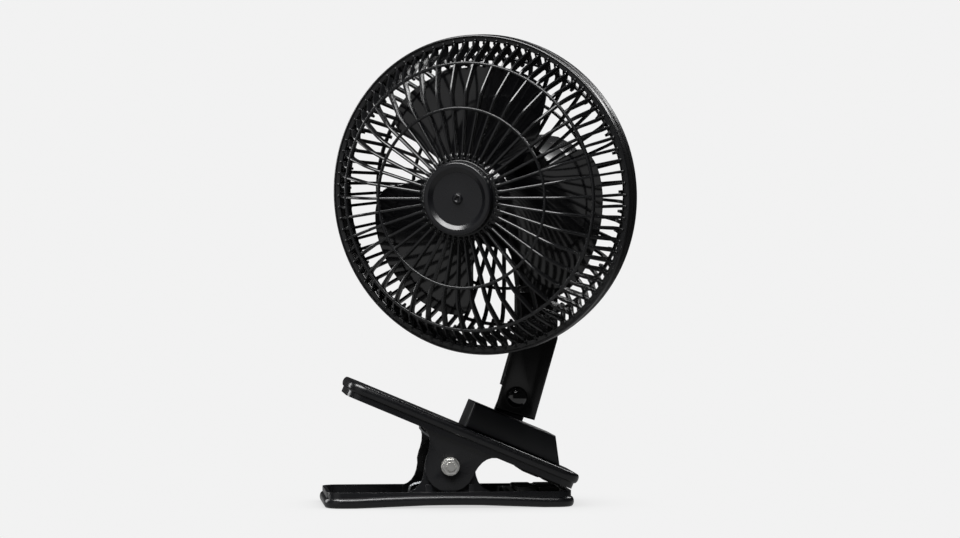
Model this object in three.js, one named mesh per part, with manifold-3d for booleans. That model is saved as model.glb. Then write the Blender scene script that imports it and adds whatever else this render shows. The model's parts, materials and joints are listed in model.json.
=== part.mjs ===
// Clip fan: a small caged fan on a leaning neck, carried by a spring clip.
// Millimetres, +Z up, +X along the clip from handle to jaw, -Y the side the head looks out from.
// The origin is on the surface the clip stands on, under the middle of the fan's outline.

import * as THREE from 'three';
import { mergeVertices } from 'three/addons/utils/BufferGeometryUtils.js';
import Module from 'manifold-3d';

const wasm = await Module();
wasm.setup();

// ---------------------------------------------------------------- driving dimensions

const SEAT_GAP = 0.3; // between pieces that rest on each other
const RUN_GAP = 0.4; // between pieces that turn past each other

// clip
const PIVOT_HEIGHT = 24; // pivot axis to the outer face of either lever
const JAW_ANGLE = 22.8; // between the closed levers, degrees
const LEVER_LENGTH = 146;
const LEVER_WIDTH = 66;
const LEVER_DEPTH = 9.2;
const LEVER_CORNER = 9;
const LEVER_FLOOR = 2.6;
const LEVER_WALL = 2.2;
const BAND_HEIGHT = 4.2; // rounded outer band of a lever
const BAND_PROUD = 1.4;
const ARCH_RISE = 1.6; // hollow under the lower lever
const ARCH_SPAN = 112;
const GRIP_COUNT = 4;
const GRIP_PITCH = 3.6;
const GRIP_DEPTH = 0.8;
const EAR_RADIUS = 15;
const EAR_THICKNESS = 2.6;
const EAR_ROOT = 24; // half width of an ear where it leaves its lever
const GUSSET_WIDTH = 3.4;
const GUSSET_RISE = 4.2; // above the lip
const JAW_DECK_START = 38; // the tray is shallow from here to the jaw
const PAD_RECESS = 1.2;
const PAD_LENGTH = 11.5;
const PAD_WIDTH = 40;
const PAD_EDGE = 1.6; // rounding of a pad's two ends
const PAD_NOTCH = 1.6;
const PAD_PROUD = 1.6;
const PAD_SPACING = 13.2;
const PAD_OUTER_END = 65; // from the pivot

// clip bolt, its nut and the spring
const BOLT_RADIUS = 2.5;
const BOLT_CLEARANCE = 0.1;
const NUT_FLATS = 8.8;
const NUT_HEIGHT = 4;
const WASHER_THICKNESS = 0.9;
const SPRING_WIRE = 1.9;
const SPRING_RADIUS = 7.6; // to the middle of the wire
const SPRING_TURNS = 5;
const SPRING_SPACE = 0.5; // between curls
const SPRING_REACH = 22; // pivot to the legs' feet
const SPRING_SLOPE = 12; // of a leg to its handle, degrees
const CURL_STEPS = 8;

// switch box on the upper lever
const BOX_FOOT = 60.5;
const BOX_TOP = 51.3;
const BOX_HEIGHT = 15.6;
const BOX_WIDTH = 44;
const BOX_WALL = 2.6;
const BOX_EDGE = 0.9;
const BOX_SCREW_RADIUS = 1.5;
const BOX_SCREW_FIRST = 7; // from the box's handle end
const BOX_SCREW_SPACING = 24;
const SWITCH_LENGTH = 13;
const SWITCH_HEIGHT = 8.6;
const SWITCH_DEPTH = 3; // case behind the rocker's pocket
const SWITCH_CASE = 0.8;
const SWITCH_PLAY = 1.6; // under the rocker, for its rocking
const ROCKER_ROOT = 3;
const ROCKER_PROUD = 2.4;
const ROCKER_DIP = 1.1;
const TERMINAL = 0.8;
const TERMINAL_REACH = 4;
const TERMINAL_PITCH = 4;
const GLAND_RADIUS = 3.9;
const GLAND_BORE = 2.9;

// neck
const NECK_ALONG = 23.2; // neck bolt, along the upper lever from the clip pivot
const NECK_ABOVE_BOX = 11.9;
const NECK_LEAN = 16; // from the vertical, degrees
const LUG_RADIUS = 8.6;
const ARM_WIDTH = 24.2;
const ARM_DEPTH = 16;
const ARM_WALL = 2.4;
const ARM_OFFSET = 1.7; // middle of the arm beside the bolt
const ARM_TONGUE = 10.2; // near cheek below the bolt
const ARM_SHOULDER = 4.6; // side walls stop this far above the bolt
const ARM_BEND = 38; // the arm turns upright here
const ARM_UPRIGHT = 25.6;
const ARM_TOP_PLATE = 4;
const DOME_RADIUS = 6;
const DOME_HEIGHT = 4.4;
const DOME_RECESS = 8.7;
const DOME_RECESS_DEPTH = 0.9;

// swivel and tilt knuckle under the motor
const SPINDLE_RADIUS = 4.5;
const SWIVEL_DISC = 11.8;
const SWIVEL_DISC_HEIGHT = 4;
const KNUCKLE_RISE = 23; // tilt bolt above the top of the arm
const KNUCKLE_RADIUS = 8;
const KNUCKLE_CHEEK = 3.4;
const TAB_WIDTH = 10.2;
const TILT_BOLT_RADIUS = 2;
const HEAD_TURN = 28; // swivel at rest, degrees
const HEAD_DIP = 4; // tilt at rest, degrees
const HEAD_RISE = 39.6; // fan axis above the tilt bolt
const HEAD_REACH = 85.7; // tilt bolt to the plane of the rim

// cage, measured from the plane of the rim; forward is +Z in the head's own frame
const RIM_RADIUS = 91;
const RIM_INNER = 84.6;
const RIM_FRONT_DEPTH = 8.6;
const RIM_REAR_DEPTH = 8.4;
const REAR_RIM_RADIUS = 90.2;
const RIM_LIP = 1.6;
const CAGE_RIBS = 42;
const RIB_WIDTH = 1.4;
const RIB_DEPTH = 2.4;
const RIB_ROOT = 1; // how far a rib runs into what carries it
const RING_WIDTH = 1.8;
const SIDE_RING_WIDTH = 2.4;
const RING_DEPTH = 1.8;
const RING_SINK = 0.3; // a ring's front behind the ribs'
const RIB_SINK = 0.8; // a rib's front behind the collar's
const COLLAR_RADIUS = 21.6;
const COLLAR_BORE = 17;
const COLLAR_FRONT = 28.4;
const COLLAR_DEPTH = 3.6;
const INNER_RING_RADIUS = 50.5;
const SHOULDER_RADIUS = 60;
const SHOULDER_FRONT = 27;
const OUTER_RING_RADIUS = 77.6;
const SIDE_KINK_RADIUS = 79;
const SIDE_KINK_FRONT = 14.6;
const CAP_RADIUS = 20.6;
const CAP_FACE_RADIUS = 15.4;
const CAP_HEIGHT = 4.4;
const CAP_DISH = 1.8;
const CAP_SPIGOT = 2.4;
const CAP_BOSS_RADIUS = 3.2;
const REAR_RIBS = 21;
const REAR_DEPTH = 38;
const REAR_CORNER_RADIUS = 74;
const REAR_RING_RADIUS = 56;
const REAR_HUB_RADIUS = 33;
const REAR_HUB_BORE = 19;
const REAR_HUB_THICKNESS = 2.4;
const GRILLE_SCREW_CIRCLE = 25;
const GRILLE_SCREW_RADIUS = 1.5;
const GRILLE_SCREW_HEAD = 3;
const GRILLE_SCREW_LENGTH = 7; // into the motor

// fan wheel
const BLADE_COUNT = 3;
const BLADE_TIP = 73;
const BLADE_SPAN = 84; // at the tip, degrees
const BLADE_ROOT_SPAN = 100; // degrees
const BLADE_START = -30; // root of the first blade at rest, degrees
const BLADE_SWEEP = 10; // tip ahead of the root, degrees
const BLADE_PITCH_DEPTH = 21;
const BLADE_UNTWIST = 0.25; // share of the pitch lost at the tip
const BLADE_BOW = 2.4;
const BLADE_CORNER = 0.14; // share of the radius that the tip's corners give up
const BLADE_THICKNESS = 1.5;
const WHEEL_WALL = 2;
const WHEEL_FACE = 3;
const WHEEL_BOSS_RADIUS = 6;
const WHEEL_BOSS_LENGTH = 16;
const WHEEL_HUB_RADIUS = 17;
const WHEEL_HUB_DEPTH = 20;
const WHEEL_FRONT = -6;
const BLADE_NUT_RADIUS = 7;
const BLADE_NUT_HEIGHT = 7.6;
const BLADE_NUT_NOTCH = 0.9;

// motor
const MOTOR_RADIUS = 31;
const MOTOR_WALL = 2.2;
const MOTOR_SPLIT = 75; // behind the rim
const MOTOR_BACK = 117;
const MOTOR_EDGE = 2;
const MOTOR_TAPER = 14; // rear end that narrows
const MOTOR_END_RADIUS = 18;
const SHAFT_RADIUS = 2.5;
const BEARING_RADIUS = 6;
const BEARING_LENGTH = 6;
const STATOR_RADIUS = 26;
const STATOR_BORE = 13.6;
const STACK_LENGTH = 28;
const STACK_FRONT = 73; // behind the rim
const ROTOR_GAP = 0.5;
const VENT_COUNT = 6;
const VENT_INNER = 14;
const VENT_LENGTH = 6.5;
const VENT_WIDTH = 3;
const POLE_COUNT = 4;

// ---------------------------------------------------------------- finishes

function finish(color, roughness, metalness = 0) {
  return new THREE.MeshStandardMaterial({ color, roughness, metalness, flatShading: true });
}

const satinBlack = finish(0x1c1d20, 0.45);
const greyBlack = finish(0x2a2b2e, 0.5);
const glossBlack = finish(0x0b0b0d, 0.12);
const slateBlack = finish(0x15161a, 0.4);
const rubberBlack = finish(0x101010, 0.85);
const zincSteel = finish(0xb9bcc0, 0.3, 1);
const springSteel = finish(0x8a8d90, 0.35, 1);
const copper = finish(0xa65a2a, 0.35, 1);
const bronze = finish(0x9a7440, 0.4, 1);
const laminate = finish(0x6c6f73, 0.5, 0.9);

// ---------------------------------------------------------------- solids

function signedVolume(geometry) {
  const p = geometry.getAttribute('position');
  const index = geometry.getIndex();
  const [a, b, c] = [new THREE.Vector3(), new THREE.Vector3(), new THREE.Vector3()];
  let volume = 0;
  for (let i = 0; i < index.count; i += 3) {
    a.fromBufferAttribute(p, index.getX(i));
    b.fromBufferAttribute(p, index.getX(i + 1));
    c.fromBufferAttribute(p, index.getX(i + 2));
    volume += a.dot(b.cross(c)) / 6;
  }
  return volume;
}

// A closed solid from any closed geometry, with its faces turned outward.
function solid(source) {
  const bare = source.index ? source.clone() : source;
  bare.deleteAttribute('normal');
  bare.deleteAttribute('uv');
  const merged = mergeVertices(bare, 1e-4);
  const corners = Uint32Array.from(merged.getIndex().array);
  if (signedVolume(merged) < 0) corners.reverse();
  const vertProperties = Float32Array.from(merged.getAttribute('position').array);
  return new wasm.Manifold(new wasm.Mesh({ numProp: 3, vertProperties, triVerts: corners }));
}

function join(...geometries) {
  return geometries.map(solid).reduce((sum, next) => sum.add(next));
}

function cut(body, ...tools) {
  return tools.reduce((rest, tool) => rest.subtract(solid(tool)), body);
}

function shaped(manifold) {
  const { vertProperties, triVerts, numProp } = manifold.getMesh();
  const positions = new Float32Array((vertProperties.length / numProp) * 3);
  for (let i = 0; i < positions.length / 3; i += 1) {
    for (let k = 0; k < 3; k += 1) positions[3 * i + k] = vertProperties[numProp * i + k];
  }
  const geometry = new THREE.BufferGeometry();
  geometry.setAttribute('position', new THREE.BufferAttribute(positions, 3));
  geometry.setIndex(new THREE.BufferAttribute(Uint32Array.from(triVerts), 1));
  geometry.computeVertexNormals();
  return geometry;
}

function piece(name, body, material, parent) {
  const manifold = body.isBufferGeometry ? solid(body) : body;
  const mesh = new THREE.Mesh(shaped(manifold), material);
  mesh.name = name;
  parent.add(mesh);
  return mesh;
}

// ---------------------------------------------------------------- forms

const radians = THREE.MathUtils.degToRad;

// A flat outline pushed up along +Z from `base`, with optional softened edges.
function slab(shape, height, base = 0, edge = 0, steps = 2) {
  const options = { depth: height - 2 * edge, steps: 1, curveSegments: steps, bevelEnabled: edge > 0 };
  if (edge > 0) {
    const bevel = { bevelSize: edge, bevelThickness: edge, bevelOffset: -edge, bevelSegments: 1 };
    Object.assign(options, bevel);
  }
  return new THREE.ExtrudeGeometry(shape, options).translate(0, 0, base + edge);
}

// An outline drawn in X and Z, pushed along Y between two planes.
function plate(shape, nearY, farY, edge = 0, steps = 6) {
  return slab(shape, farY - nearY, 0, edge, steps).rotateX(Math.PI / 2).translate(0, farY, 0);
}

// A profile of [radius, height] pairs turned about Z.
function turned(profile, segments = 20) {
  const points = profile.map(([radius, height]) => new THREE.Vector2(radius, height));
  return new THREE.LatheGeometry(points, segments).rotateX(Math.PI / 2).rotateZ(Math.PI / 2);
}

function ring(inner, outer, low, high, segments = 20) {
  return turned([[inner, low], [outer, low], [outer, high], [inner, high], [inner, low]], segments);
}

function rod(radius, low, high, segments = 12) {
  return turned([[0, low], [radius, low], [radius, high], [0, high]], segments);
}

function rodAlongY(radius, nearY, farY, segments = 12) {
  return rod(radius, nearY, farY, segments).rotateX(-Math.PI / 2);
}

function rodAlongX(radius, low, high, segments = 12) {
  return rod(radius, low, high, segments).rotateY(Math.PI / 2);
}

function block(lowX, highX, lowY, highY, lowZ, highZ) {
  const box = new THREE.BoxGeometry(highX - lowX, highY - lowY, highZ - lowZ);
  return box.translate((lowX + highX) / 2, (lowY + highY) / 2, (lowZ + highZ) / 2);
}

function roundedOutline(lowX, highX, halfWidth, radius) {
  const shape = new THREE.Shape();
  shape.moveTo(lowX + radius, -halfWidth);
  shape.lineTo(highX - radius, -halfWidth);
  shape.absarc(highX - radius, -halfWidth + radius, radius, -Math.PI / 2, 0);
  shape.absarc(highX - radius, halfWidth - radius, radius, 0, Math.PI / 2);
  shape.absarc(lowX + radius, halfWidth - radius, radius, Math.PI / 2, Math.PI);
  shape.absarc(lowX + radius, -halfWidth + radius, radius, Math.PI, 1.5 * Math.PI);
  return shape;
}

function hexagon(flats, low, high) {
  return rod(flats / Math.sqrt(3), low, high, 6);
}

function outline(points) {
  return new THREE.Shape(points.map(([x, y]) => new THREE.Vector2(x, y)));
}

// ---------------------------------------------------------------- clip levers

// Both levers are one moulding in a frame whose origin is the pivot and whose +Z leaves the
// outer face. The lower one is the same turned over, with its ears further in.

const LIP = PIVOT_HEIGHT - LEVER_DEPTH;
const DECK = LIP + PAD_RECESS;
const HALF_LENGTH = LEVER_LENGTH / 2;
const WALL_OUTER = LEVER_WIDTH / 2;
const WALL_INNER = WALL_OUTER - LEVER_WALL;
const OUTER_EAR = WALL_INNER - RUN_GAP; // outer face of the upper lever's ears
const INNER_EAR = OUTER_EAR - EAR_THICKNESS - RUN_GAP; // outer face of the lower lever's ears
const BOLT_BORE = BOLT_RADIUS + BOLT_CLEARANCE + SEAT_GAP;

function leverTray() {
  const skirt = roundedOutline(-HALF_LENGTH, HALF_LENGTH, WALL_OUTER, LEVER_CORNER);
  const band = roundedOutline(
    -HALF_LENGTH - BAND_PROUD, HALF_LENGTH + BAND_PROUD, WALL_OUTER + BAND_PROUD,
    LEVER_CORNER + BAND_PROUD);
  const bandBase = PIVOT_HEIGHT - BAND_HEIGHT;
  return join(slab(skirt, LEVER_DEPTH - BAND_PROUD, LIP), slab(band, BAND_HEIGHT, bandBase, BAND_PROUD));
}

function trayHollow() {
  const inside = roundedOutline(
    -HALF_LENGTH + LEVER_WALL, JAW_DECK_START, WALL_INNER, LEVER_CORNER - LEVER_WALL);
  return slab(inside, LEVER_DEPTH - LEVER_FLOOR + 1, LIP - 1);
}

function deckHollow() {
  const inside = roundedOutline(
    JAW_DECK_START - LEVER_CORNER, HALF_LENGTH - LEVER_WALL, WALL_INNER, LEVER_CORNER - LEVER_WALL);
  return slab(inside, PAD_RECESS + 1, LIP - 1);
}

// Concave flanks run from the lever down into a disc round the bolt.
function earOutline() {
  const shape = new THREE.Shape();
  const root = PIVOT_HEIGHT - LEVER_FLOOR / 2;
  const flankEnd = EAR_RADIUS * 0.1;
  shape.moveTo(-EAR_ROOT, root);
  shape.lineTo(-EAR_ROOT, LIP);
  shape.quadraticCurveTo(-EAR_RADIUS - 1, LIP - 2, -EAR_RADIUS, flankEnd);
  shape.absarc(0, 0, EAR_RADIUS, Math.PI, 2 * Math.PI);
  shape.lineTo(EAR_RADIUS, flankEnd);
  shape.quadraticCurveTo(EAR_RADIUS + 1, LIP - 2, EAR_ROOT, LIP);
  shape.lineTo(EAR_ROOT, root);
  return shape;
}

function ears(outerFace) {
  const innerFace = outerFace - EAR_THICKNESS;
  const shape = earOutline();
  return [plate(shape, innerFace, outerFace, 0, 5), plate(shape, -outerFace, -innerFace, 0, 5)];
}

function gripGrooves() {
  const grooves = [];
  for (let i = 0; i < GRIP_COUNT; i += 1) {
    const x = -HALF_LENGTH + LEVER_CORNER / 2 + (i + 0.5) * GRIP_PITCH;
    const groove = rodAlongY(GRIP_DEPTH, -WALL_OUTER + 5, WALL_OUTER - 5, 4);
    grooves.push(groove.translate(x, 0, PIVOT_HEIGHT));
  }
  return grooves;
}

function lever(earFace) {
  const tray = cut(leverTray(), trayHollow(), deckHollow(), ...gripGrooves());
  const withEars = ears(earFace).map(solid).reduce((sum, ear) => sum.add(ear), tray);
  return cut(withEars, rodAlongY(BOLT_BORE, -WALL_OUTER, WALL_OUTER));
}

// A shallow circular arch so the lower lever stands on its two ends.
function standingArch() {
  const radius = ARCH_SPAN ** 2 / (8 * ARCH_RISE) + ARCH_RISE / 2;
  const half = Math.asin(ARCH_SPAN / 2 / radius);
  const shape = new THREE.Shape();
  shape.absarc(0, PIVOT_HEIGHT - ARCH_RISE + radius, radius, -Math.PI / 2 - half, -Math.PI / 2 + half);
  return plate(shape, -WALL_OUTER - 2 * BAND_PROUD, WALL_OUTER + 2 * BAND_PROUD, 0, 8);
}

function gussets() {
  const reach = EAR_RADIUS + RUN_GAP;
  const top = LIP - GUSSET_RISE;
  const inner = Math.sqrt(reach ** 2 - top ** 2);
  const base = PIVOT_HEIGHT - LEVER_FLOOR / 2;
  const solids = [];
  for (const side of [-1, 1]) {
    const [a, b] = [side * inner, side * (inner + GUSSET_WIDTH)];
    for (const wall of [-1, 1]) {
      const [c, d] = [wall * (WALL_INNER - 1.4), wall * (WALL_INNER + 0.6)];
      solids.push(block(Math.min(a, b), Math.max(a, b), Math.min(c, d), Math.max(c, d), top, base));
    }
  }
  return solids;
}

function lowerLever() {
  const plain = gussets().map(solid).reduce((sum, gusset) => sum.add(gusset), lever(INNER_EAR));
  return cut(plain, standingArch());
}

function upperLever() {
  return cut(lever(OUTER_EAR), ...boxScrewPlaces().map(([x, y]) => (
    rod(BOX_SCREW_RADIUS + SEAT_GAP, LIP, PIVOT_HEIGHT + 1).translate(x, y, 0))));
}

// A ribbed rubber pad with a crowned face, standing on the deck of its jaw.
function jawPad(outerEnd) {
  const foot = LIP + PAD_RECESS - SEAT_GAP;
  const face = LIP - PAD_PROUD;
  const shape = new THREE.Shape();
  shape.moveTo(outerEnd, foot);
  shape.lineTo(outerEnd, face + PAD_PROUD / 2);
  shape.quadraticCurveTo(outerEnd, face, outerEnd - PAD_EDGE, face);
  shape.lineTo(outerEnd - PAD_LENGTH + PAD_EDGE, face);
  shape.quadraticCurveTo(outerEnd - PAD_LENGTH, face, outerEnd - PAD_LENGTH, face + PAD_PROUD / 2);
  shape.lineTo(outerEnd - PAD_LENGTH, foot);
  const pad = solid(plate(shape, -PAD_WIDTH / 2, PAD_WIDTH / 2, 0, 3));
  const notch = (y) => block(
    outerEnd - PAD_LENGTH - 1, outerEnd + 1, y - PAD_NOTCH / 2, y + PAD_NOTCH / 2,
    face - 1, face + PAD_NOTCH / 2);
  return cut(pad, ...[-1, 0, 1].map((k) => notch((k * PAD_WIDTH) / 4)));
}

// ---------------------------------------------------------------- clip bolt and spring

const NUT_SEAT = OUTER_EAR + SEAT_GAP;

function clipBolt() {
  const shank = rodAlongY(BOLT_RADIUS, -NUT_SEAT - WASHER_THICKNESS - NUT_HEIGHT - 1, NUT_SEAT + 1);
  const head = rodAlongY(NUT_FLATS * 0.55, NUT_SEAT, NUT_SEAT + 3);
  return cut(join(shank, head), block(-0.6, 0.6, NUT_SEAT + 2, NUT_SEAT + 4, -6, 6));
}

function clipNut() {
  const outer = -NUT_SEAT - WASHER_THICKNESS - SEAT_GAP;
  const body = hexagon(NUT_FLATS, outer - NUT_HEIGHT, outer).rotateX(-Math.PI / 2);
  return cut(solid(body), rodAlongY(BOLT_RADIUS + BOLT_CLEARANCE, outer - NUT_HEIGHT - 1, outer + 1));
}

function clipWasher() {
  const bore = BOLT_RADIUS + BOLT_CLEARANCE;
  return ring(bore, NUT_FLATS * 0.62, -NUT_SEAT - WASHER_THICKNESS, -NUT_SEAT, 14).rotateX(-Math.PI / 2);
}

function clipSpacer() {
  const half = INNER_EAR - EAR_THICKNESS - SEAT_GAP;
  const flatReach = SPRING_RADIUS * Math.cos(Math.PI / CURL_STEPS);
  const outer = flatReach - SPRING_WIRE / 2 - SEAT_GAP;
  return ring(BOLT_RADIUS + BOLT_CLEARANCE, outer, -half, half, 16).rotateX(-Math.PI / 2);
}

// A leg of the torsion spring in its own handle's plane, from the foot that stands square on the
// tray's floor, round a bend, to where the leg meets the coil.
function springLeg(slope) {
  const floor = PIVOT_HEIGHT - LEVER_FLOOR - SEAT_GAP;
  const bend = 1.5 * SPRING_WIRE;
  const along = new THREE.Vector2(-Math.cos(slope), -Math.sin(slope));
  const joint = new THREE.Vector2(SPRING_RADIUS * Math.sin(slope), -SPRING_RADIUS * Math.cos(slope));
  const length = (joint.x + SPRING_REACH) / Math.cos(slope);
  const knee = joint.clone().addScaledVector(along, length);
  const before = knee.clone().addScaledVector(along, -bend);
  const after = new THREE.Vector2(knee.x, knee.y - bend);
  const middle = before.clone().add(after).multiplyScalar(0.25).addScaledVector(knee, 0.5);
  return [new THREE.Vector2(knee.x, -floor), after, middle, before];
}

// The spring's centre line: the lower handle's leg, the coil, and the upper handle's leg.
function springPath() {
  const slope = radians(SPRING_SLOPE);
  const start = slope - Math.PI / 2;
  const sweep = Math.PI - 2 * slope - radians(JAW_ANGLE) + 2 * Math.PI * SPRING_TURNS;
  const width = ((SPRING_WIRE + SPRING_SPACE) * sweep) / (2 * Math.PI);
  const steps = Math.round((CURL_STEPS * sweep) / (2 * Math.PI));
  const leg = springLeg(slope);
  const lower = leg.map(({ x, y }) => new THREE.Vector3(x, -width / 2, y));
  const upper = leg.map(({ x, y }) => new THREE.Vector3(x, width / 2, -y)).reverse();
  upper.forEach((point) => point.applyAxisAngle(new THREE.Vector3(0, 1, 0), radians(JAW_ANGLE)));
  const coil = [];
  for (let i = 0; i <= steps; i += 1) {
    const angle = start + (sweep * i) / steps;
    const across = (i / steps - 0.5) * width;
    const [x, z] = [SPRING_RADIUS * Math.cos(angle), SPRING_RADIUS * Math.sin(angle)];
    coil.push(new THREE.Vector3(x, across, z));
  }
  return [...lower, ...coil, ...upper];
}

// A tube of five-sided rings along the points, closed at both ends.
function wire(points, radius, sides = 5) {
  const axis = new THREE.Vector3(0, 1, 0);
  const positions = [];
  points.forEach((point, i) => {
    const before = points[Math.max(i - 1, 0)];
    const after = points[Math.min(i + 1, points.length - 1)];
    const along = after.clone().sub(before).normalize();
    const across = axis.clone().cross(along).normalize();
    const up = along.clone().cross(across);
    for (let k = 0; k < sides; k += 1) {
      const angle = (2 * Math.PI * k) / sides;
      const corner = point.clone().addScaledVector(across, radius * Math.cos(angle));
      positions.push(...corner.addScaledVector(up, radius * Math.sin(angle)).toArray());
    }
  });
  const index = [];
  for (let i = 0; i + 1 < points.length; i += 1) {
    for (let k = 0; k < sides; k += 1) {
      const [a, b] = [i * sides + k, i * sides + ((k + 1) % sides)];
      index.push(a, b, b + sides, a, b + sides, a + sides);
    }
  }
  const last = (points.length - 1) * sides;
  for (let k = 1; k + 1 < sides; k += 1) index.push(0, k + 1, k, last, last + k, last + k + 1);
  const geometry = new THREE.BufferGeometry();
  geometry.setAttribute('position', new THREE.Float32BufferAttribute(positions, 3));
  geometry.setIndex(index);
  return geometry;
}

// Least distance from the surface of one curl to the next.
function leastGap(points, radius) {
  let least = Infinity;
  points.forEach((point, i) => {
    const others = points.slice(i + CURL_STEPS - 2);
    least = Math.min(least, ...others.map((other) => other.distanceTo(point)));
  });
  return least - 2 * radius;
}

function clipSpring() {
  const points = springPath();
  console.log(`clip spring: least gap between curls ${leastGap(points, SPRING_WIRE / 2).toFixed(2)} mm`);
  return wire(points, SPRING_WIRE / 2);
}

// ---------------------------------------------------------------- switch box

const BOX_BASE = PIVOT_HEIGHT + SEAT_GAP;
const BOX_ROOF = BOX_BASE + BOX_HEIGHT;
const NECK_UP = BOX_ROOF + NECK_ABOVE_BOX;
const LUG_HALF = ARM_DEPTH / 2 - ARM_WALL - RUN_GAP;
const TONGUE_REACH = Math.hypot(ARM_WIDTH / 2 + ARM_OFFSET, ARM_TONGUE) + 0.8;
const SWITCH_ALONG = 24;
const SWITCH_UP = BOX_BASE + BOX_HEIGHT / 2 - 0.6;
const GLAND_ALONG = 44;

function boxScrewPlaces() {
  return [[BOX_SCREW_FIRST, 0], [BOX_SCREW_FIRST + BOX_SCREW_SPACING, 0]];
}

function boxOutline() {
  return outline([[0, BOX_BASE], [BOX_FOOT, BOX_BASE], [BOX_TOP, BOX_ROOF], [0, BOX_ROOF]]);
}

function lugOutline() {
  const shape = new THREE.Shape();
  shape.moveTo(NECK_ALONG - LUG_RADIUS, BOX_ROOF - BOX_WALL);
  shape.lineTo(NECK_ALONG + LUG_RADIUS, BOX_ROOF - BOX_WALL);
  shape.lineTo(NECK_ALONG + LUG_RADIUS, NECK_UP);
  shape.absarc(NECK_ALONG, NECK_UP, LUG_RADIUS, 0, Math.PI);
  return shape;
}

function boxHollows() {
  const half = BOX_WIDTH / 2 - BOX_WALL;
  const low = BOX_BASE - 1;
  const underSlot = NECK_UP - TONGUE_REACH - BOX_WALL;
  const slotEdge = LUG_HALF + BOX_WALL;
  return [
    block(BOX_WALL, BOX_TOP - 1, -half, half, low, underSlot),
    block(BOX_WALL, BOX_TOP - BOX_WALL, slotEdge, half, low, BOX_ROOF - BOX_WALL),
  ];
}

function boxBosses() {
  return boxScrewPlaces().map(([x, y]) => (
    rod(BOX_SCREW_RADIUS + 2.4, BOX_BASE, BOX_ROOF - BOX_WALL / 2).translate(x, y, 0)));
}

function boxOpenings() {
  const far = BOX_WIDTH / 2;
  const screwBores = boxScrewPlaces().map(([x, y]) => (
    rod(BOX_SCREW_RADIUS + SEAT_GAP, BOX_BASE - 1, BOX_BASE + 9).translate(x, y, 0)));
  const tongueSlot = rodAlongY(TONGUE_REACH, -ARM_DEPTH / 2 - RUN_GAP, -LUG_HALF, 40);
  return [
    tongueSlot.translate(NECK_ALONG, 0, NECK_UP),
    rodAlongY(BOLT_BORE, -LUG_HALF - 1, LUG_HALF + 1).translate(NECK_ALONG, 0, NECK_UP),
    block(
      SWITCH_ALONG - SWITCH_LENGTH / 2 - RUN_GAP, SWITCH_ALONG + SWITCH_LENGTH / 2 + RUN_GAP,
      far - BOX_WALL - 1, far + 1,
      SWITCH_UP - SWITCH_HEIGHT / 2 - RUN_GAP, SWITCH_UP + SWITCH_HEIGHT / 2 + RUN_GAP),
    rodAlongY(GLAND_RADIUS + SEAT_GAP, far - BOX_WALL - 1, far + 1).translate(GLAND_ALONG, 0, SWITCH_UP),
    ...screwBores,
  ];
}

function switchBox() {
  const half = BOX_WIDTH / 2;
  const shell = cut(solid(plate(boxOutline(), -half, half, BOX_EDGE)), ...boxHollows());
  const bossed = boxBosses().map(solid).reduce((sum, boss) => sum.add(boss), shell);
  const lugged = bossed.add(solid(plate(lugOutline(), -LUG_HALF, LUG_HALF, 0, 8)));
  return cut(lugged, ...boxOpenings());
}

function boxScrew([x, y]) {
  const seat = PIVOT_HEIGHT - LEVER_FLOOR - SEAT_GAP;
  const head = turned([[0, seat - 2], [2.2, seat - 2], [3.1, seat - 1], [3.1, seat], [0, seat]], 10);
  return join(head, rod(BOX_SCREW_RADIUS, seat - 0.5, BOX_BASE + 8, 10)).translate([x, y, 0]);
}

// The rocker's two faces meet in a shallow V; it turns on an axis square to the lever.
const ROCKER_AXIS_Y = BOX_WIDTH / 2 - BOX_WALL / 2;

function speedRocker() {
  const half = SWITCH_LENGTH / 2;
  const flank = 0.4 * ROCKER_ROOT;
  const shape = outline([
    [-half, -flank], [-half + flank, -ROCKER_ROOT], [half - flank, -ROCKER_ROOT], [half, -flank],
    [half, ROCKER_PROUD], [0, ROCKER_PROUD - ROCKER_DIP], [-half, ROCKER_PROUD],
  ]);
  const body = slab(shape, SWITCH_HEIGHT, -SWITCH_HEIGHT / 2);
  return body.translate(SWITCH_ALONG, ROCKER_AXIS_Y, SWITCH_UP);
}

// The switch's case backs onto the box's wall and holds the rocker in a pocket.
function switchBody() {
  const front = BOX_WIDTH / 2 - BOX_WALL - SEAT_GAP;
  const floor = ROCKER_AXIS_Y - ROCKER_ROOT - SWITCH_PLAY;
  const back = floor - SWITCH_DEPTH;
  const centred = (length, height, low, high) => block(
    SWITCH_ALONG - length, SWITCH_ALONG + length, low, high, SWITCH_UP - height, SWITCH_UP + height);
  const [long, high] = [SWITCH_LENGTH / 2 + RUN_GAP, SWITCH_HEIGHT / 2 + RUN_GAP];
  const outer = centred(long + SWITCH_CASE, high + SWITCH_CASE, back, front);
  const shell = cut(solid(outer), centred(long, high, floor, front + 1));
  const tab = centred(TERMINAL / 2, high, back - TERMINAL_REACH, back + 1);
  const tabs = [-1, 0, 1].map((k) => solid(tab.clone().translate(k * TERMINAL_PITCH, 0, 0)));
  return tabs.reduce((sum, tab) => sum.add(tab), shell);
}

function cordGland() {
  const far = BOX_WIDTH / 2;
  const profile = [
    [GLAND_BORE, far - BOX_WALL], [GLAND_RADIUS, far - BOX_WALL], [GLAND_RADIUS, far + SEAT_GAP],
    [GLAND_RADIUS + 1.4, far + SEAT_GAP], [GLAND_RADIUS + 1.2, far + 1.8],
    [GLAND_BORE + 0.6, far + 3], [GLAND_BORE, far + 3], [GLAND_BORE, far - BOX_WALL],
  ];
  return turned(profile, 14).rotateX(-Math.PI / 2).translate(GLAND_ALONG, 0, SWITCH_UP);
}

// ---------------------------------------------------------------- neck arm

const ARM_HALF = ARM_WIDTH / 2;
const ARM_FACE = ARM_DEPTH / 2;
const TURN = radians(NECK_LEAN);

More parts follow.
